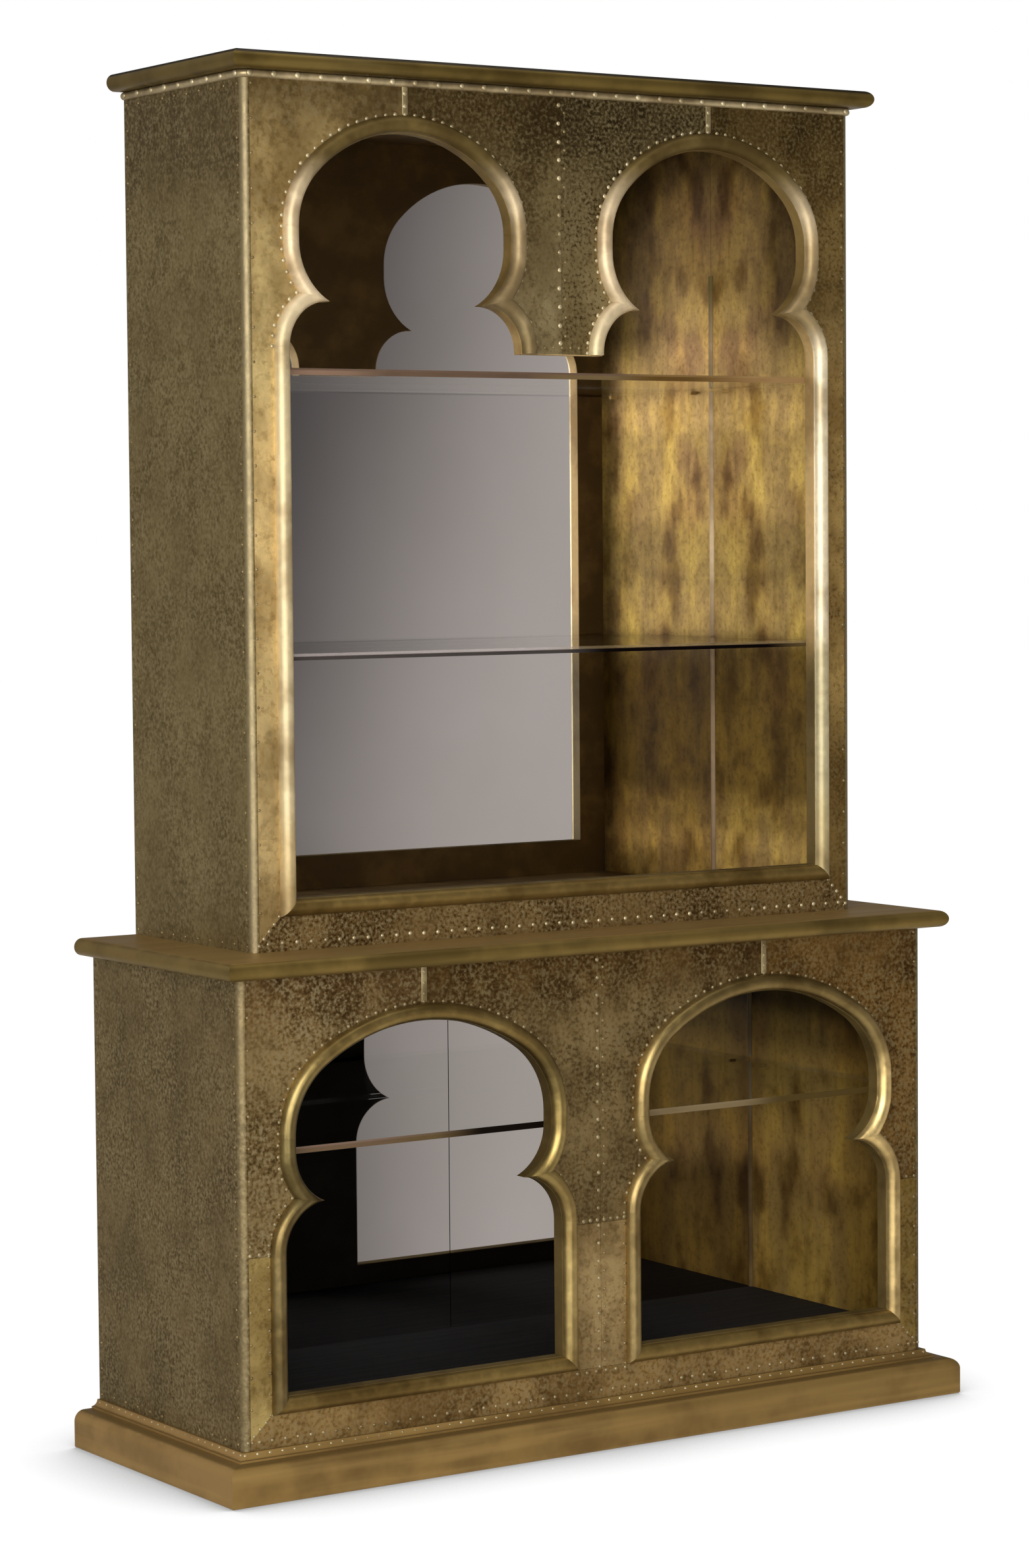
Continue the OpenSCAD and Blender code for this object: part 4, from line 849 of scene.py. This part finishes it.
def add_corner_strips():
    """Quarter-round strips in the corners between the mirrors and the linings, cut at each shelf."""
    turns = [math.pi / 2 * k / STRIP_STEPS for k in range(STRIP_STEPS + 1)]
    section = [(0, 0)] + [(-STRIP_R * math.cos(turn), -STRIP_R * math.sin(turn)) for turn in turns]
    for name, mirror, shelves, head in (
            ("hutch", "hutch_mirror", ("hutch_shelf_lower", "hutch_shelf_upper"), STRIP_HEAD),
            ("base", "base_mirror_right", ("base_shelf",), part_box("base_mirror_right")[1].z)):
        corner = Vector((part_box(f"{name}_lining_right")[0].x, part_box(mirror)[0].y))
        levels = [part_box(mirror)[0].z]
        for shelf in shelves:
            levels += [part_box(shelf)[0].z - 1 * MM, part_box(shelf)[1].z + 1 * MM]
        levels.append(head)
        points, faces = [], []
        for side in (-1, 1):
            for ends in zip(levels[::2], levels[1::2]):
                strip = prism(len(points), len(section))
                faces += [face if side > 0 else tuple(reversed(face)) for face in strip]
                for z in ends:
                    points += [Vector((side * (corner.x + x), corner.y + y, z)) for x, y in section]
        add_piece(f"{name}_corner_strips", points, faces, "corner")


# Studio

# How bright the floor glows to the camera beside the bookcase and in the open, the bookcase's shadow
# painted between the two, how open the sky is over the two, how far the painted soft shadow reaches, and
# the floor as all but the camera sees it
FLOOR_HALF = 30
FLOOR_GLOW = (0.40, 1.0)
FLOOR_OPEN = (0.45, 0.98)
SHADOW_REACH = 0.27
SHADOW_RAYS = 16
FLOOR_PALE = (0.05, 0.05, 0.05)
FLOOR_PLAIN = (0.6, 0.59, 0.57)

# The studio as the mirrors show it, in degrees: how the grey rises from left to right across the front
# right, how much that falls for each degree upwards, and where it turns into what lies above, below
# and to the left. Under the horizon the slope ends at GREY_FOOT, and between the first two of GREY_SLIP
# the grey moves aside by the last.
GREY_FROM, GREY_TO = 29.3, 34.6
GREY_TILT = -0.26
GREY_FOOT = -4.0
GREY_SLIP = (-3.8, -7.5, 0.0, 0.5)
GREY_LOW, GREY_HIGH = (0.075, 0.068, 0.068), (0.43, 0.39, 0.37)
STUDIO_TOP, TOP_RISE = (0.06, 0.057, 0.055), (7.0, 24.0)
STUDIO_GROUND, GROUND_RISE = (0.80, 0.78, 0.75), (-11.0, -28.0)
STUDIO_LEFT, LEFT_TURN = (0.46, 0.45, 0.43), (0.0, -45.0)
AMBIENT = (0.50, 0.50, 0.50)


def add_floor():
    """A pale floor that glows for the camera, with a painted soft shadow from ambient occlusion beside the
    bookcase. Mirrors and brass see the grey studio in its place.
    """
    corners = [(-FLOOR_HALF, -FLOOR_HALF, 0), (FLOOR_HALF, -FLOOR_HALF, 0),
               (FLOOR_HALF, FLOOR_HALF, 0), (-FLOOR_HALF, FLOOR_HALF, 0)]
    mesh = bpy.data.meshes.new("floor")
    mesh.from_pydata(corners, [], [(0, 1, 2, 3)])
    made, n = material("floor_pale")
    rays = n.add("ShaderNodeLightPath")
    sky = n.add("ShaderNodeAmbientOcclusion", {"Distance": SHADOW_REACH}, samples=SHADOW_RAYS)
    strength = n.between(sky.outputs["AO"], *FLOOR_OPEN, *FLOOR_GLOW)
    glow = n.add("ShaderNodeEmission", {"Strength": strength})
    matt = n.add("ShaderNodeBsdfDiffuse", {"Color": FLOOR_PALE})
    pale = n.add("ShaderNodeAddShader", {0: matt.outputs[0], 1: glow.outputs[0]})
    plain = n.add("ShaderNodeBsdfDiffuse", {"Color": FLOOR_PLAIN})
    shown = n.add("ShaderNodeMixShader", {0: rays.outputs["Is Camera Ray"], 1: plain.outputs[0],
                                          2: pale.outputs[0]})
    n.add("ShaderNodeOutputMaterial", {"Surface": shown.outputs[0]})
    mesh.materials.append(made)
    floor = bpy.data.objects.new("floor", mesh)
    floor.visible_glossy = False
    floor.visible_transmission = False
    bpy.context.scene.collection.objects.link(floor)


def add_world():
    """White for the camera, and a grey studio for mirrors, brass and glass."""
    world = bpy.data.worlds.new("studio")
    world.use_nodes = True
    bpy.context.scene.world = world
    n = Nodes(world.node_tree)
    rays = n.add("ShaderNodeLightPath")
    way = n.add("ShaderNodeSeparateXYZ", {0: n.add("ShaderNodeTexCoord").outputs["Generated"]})
    turn = n.math("DEGREES", n.math("ARCTAN2", way.outputs[0], n.math("MULTIPLY", way.outputs[1], -1.0)))
    rise = n.math("DEGREES", n.math("ARCSINE", way.outputs[2]))
    lean = n.math("MULTIPLY", n.math("MAXIMUM", rise, GREY_FOOT), GREY_TILT)
    lean = n.math("SUBTRACT", lean, n.between(rise, *GREY_SLIP))
    grey = n.mix(n.between(n.math("ADD", turn, lean), GREY_FROM, GREY_TO), GREY_LOW, GREY_HIGH)
    grey = n.mix(n.between(rise, *TOP_RISE), grey, STUDIO_TOP)
    grey = n.mix(n.between(rise, *GROUND_RISE), grey, STUDIO_GROUND)
    grey = n.mix(n.between(turn, *LEFT_TURN), grey, STUDIO_LEFT)
    bent = n.math("MAXIMUM", rays.outputs["Is Glossy Ray"], rays.outputs["Is Transmission Ray"])
    colour = n.mix(bent, AMBIENT, grey)
    colour = n.mix(rays.outputs["Is Camera Ray"], colour, (1, 1, 1))
    back = n.add("ShaderNodeBackground", {"Color": colour, "Strength": 1.0})
    n.add("ShaderNodeOutputWorld", {"Surface": back.outputs[0]})


def add_softbox(name, place, target, width, height, power):
    """A white area light that the camera doesn't see."""
    light = bpy.data.lights.new(name, "AREA")
    light.shape = "RECTANGLE"
    light.size, light.size_y = width, height
    light.energy = power
    lamp = bpy.data.objects.new(name, light)
    way = Vector(target) - Vector(place)
    lamp.matrix_world = Matrix.Translation(place) @ way.to_track_quat("-Z", "Y").to_matrix().to_4x4()
    lamp.visible_camera = False
    bpy.context.scene.collection.objects.link(lamp)


def add_lights():
    """Softboxes: where each stands, what it faces, its width and height in metres and its watts."""
    middle = (0, 0, 1.05)
    add_softbox("key", (-3.1, -4.0, 2.2), middle, 2.8, 2.8, 190)
    add_softbox("left", (-4.2, -2.4, 1.5), middle, 1.0, 2.6, 45)
    add_softbox("over", (0.2, -0.6, 4.2), (0, 0, 0.8), 2.6, 2.2, 30)
    add_softbox("low", (-1.2, -4.4, 0.8), (0.1, -0.25, 0.3), 2.0, 1.0, 45)


add_camera()
dress_nodes()
add_hutch_nails()
add_base_nails()
add_side_nails("hutch_side_nails", "hutch_side_sheet_right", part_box("hutch_side_sheet_right")[0].z)
add_side_nails("base_side_nails", "base_side_sheet_right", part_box("plinth_left")[1].z)
add_bead_nails()
add_plinth_nails()
add_seam_strips()
add_corner_strips()
add_floor()
add_world()
add_lights()
bpy.context.scene.view_settings.view_transform = "Standard"
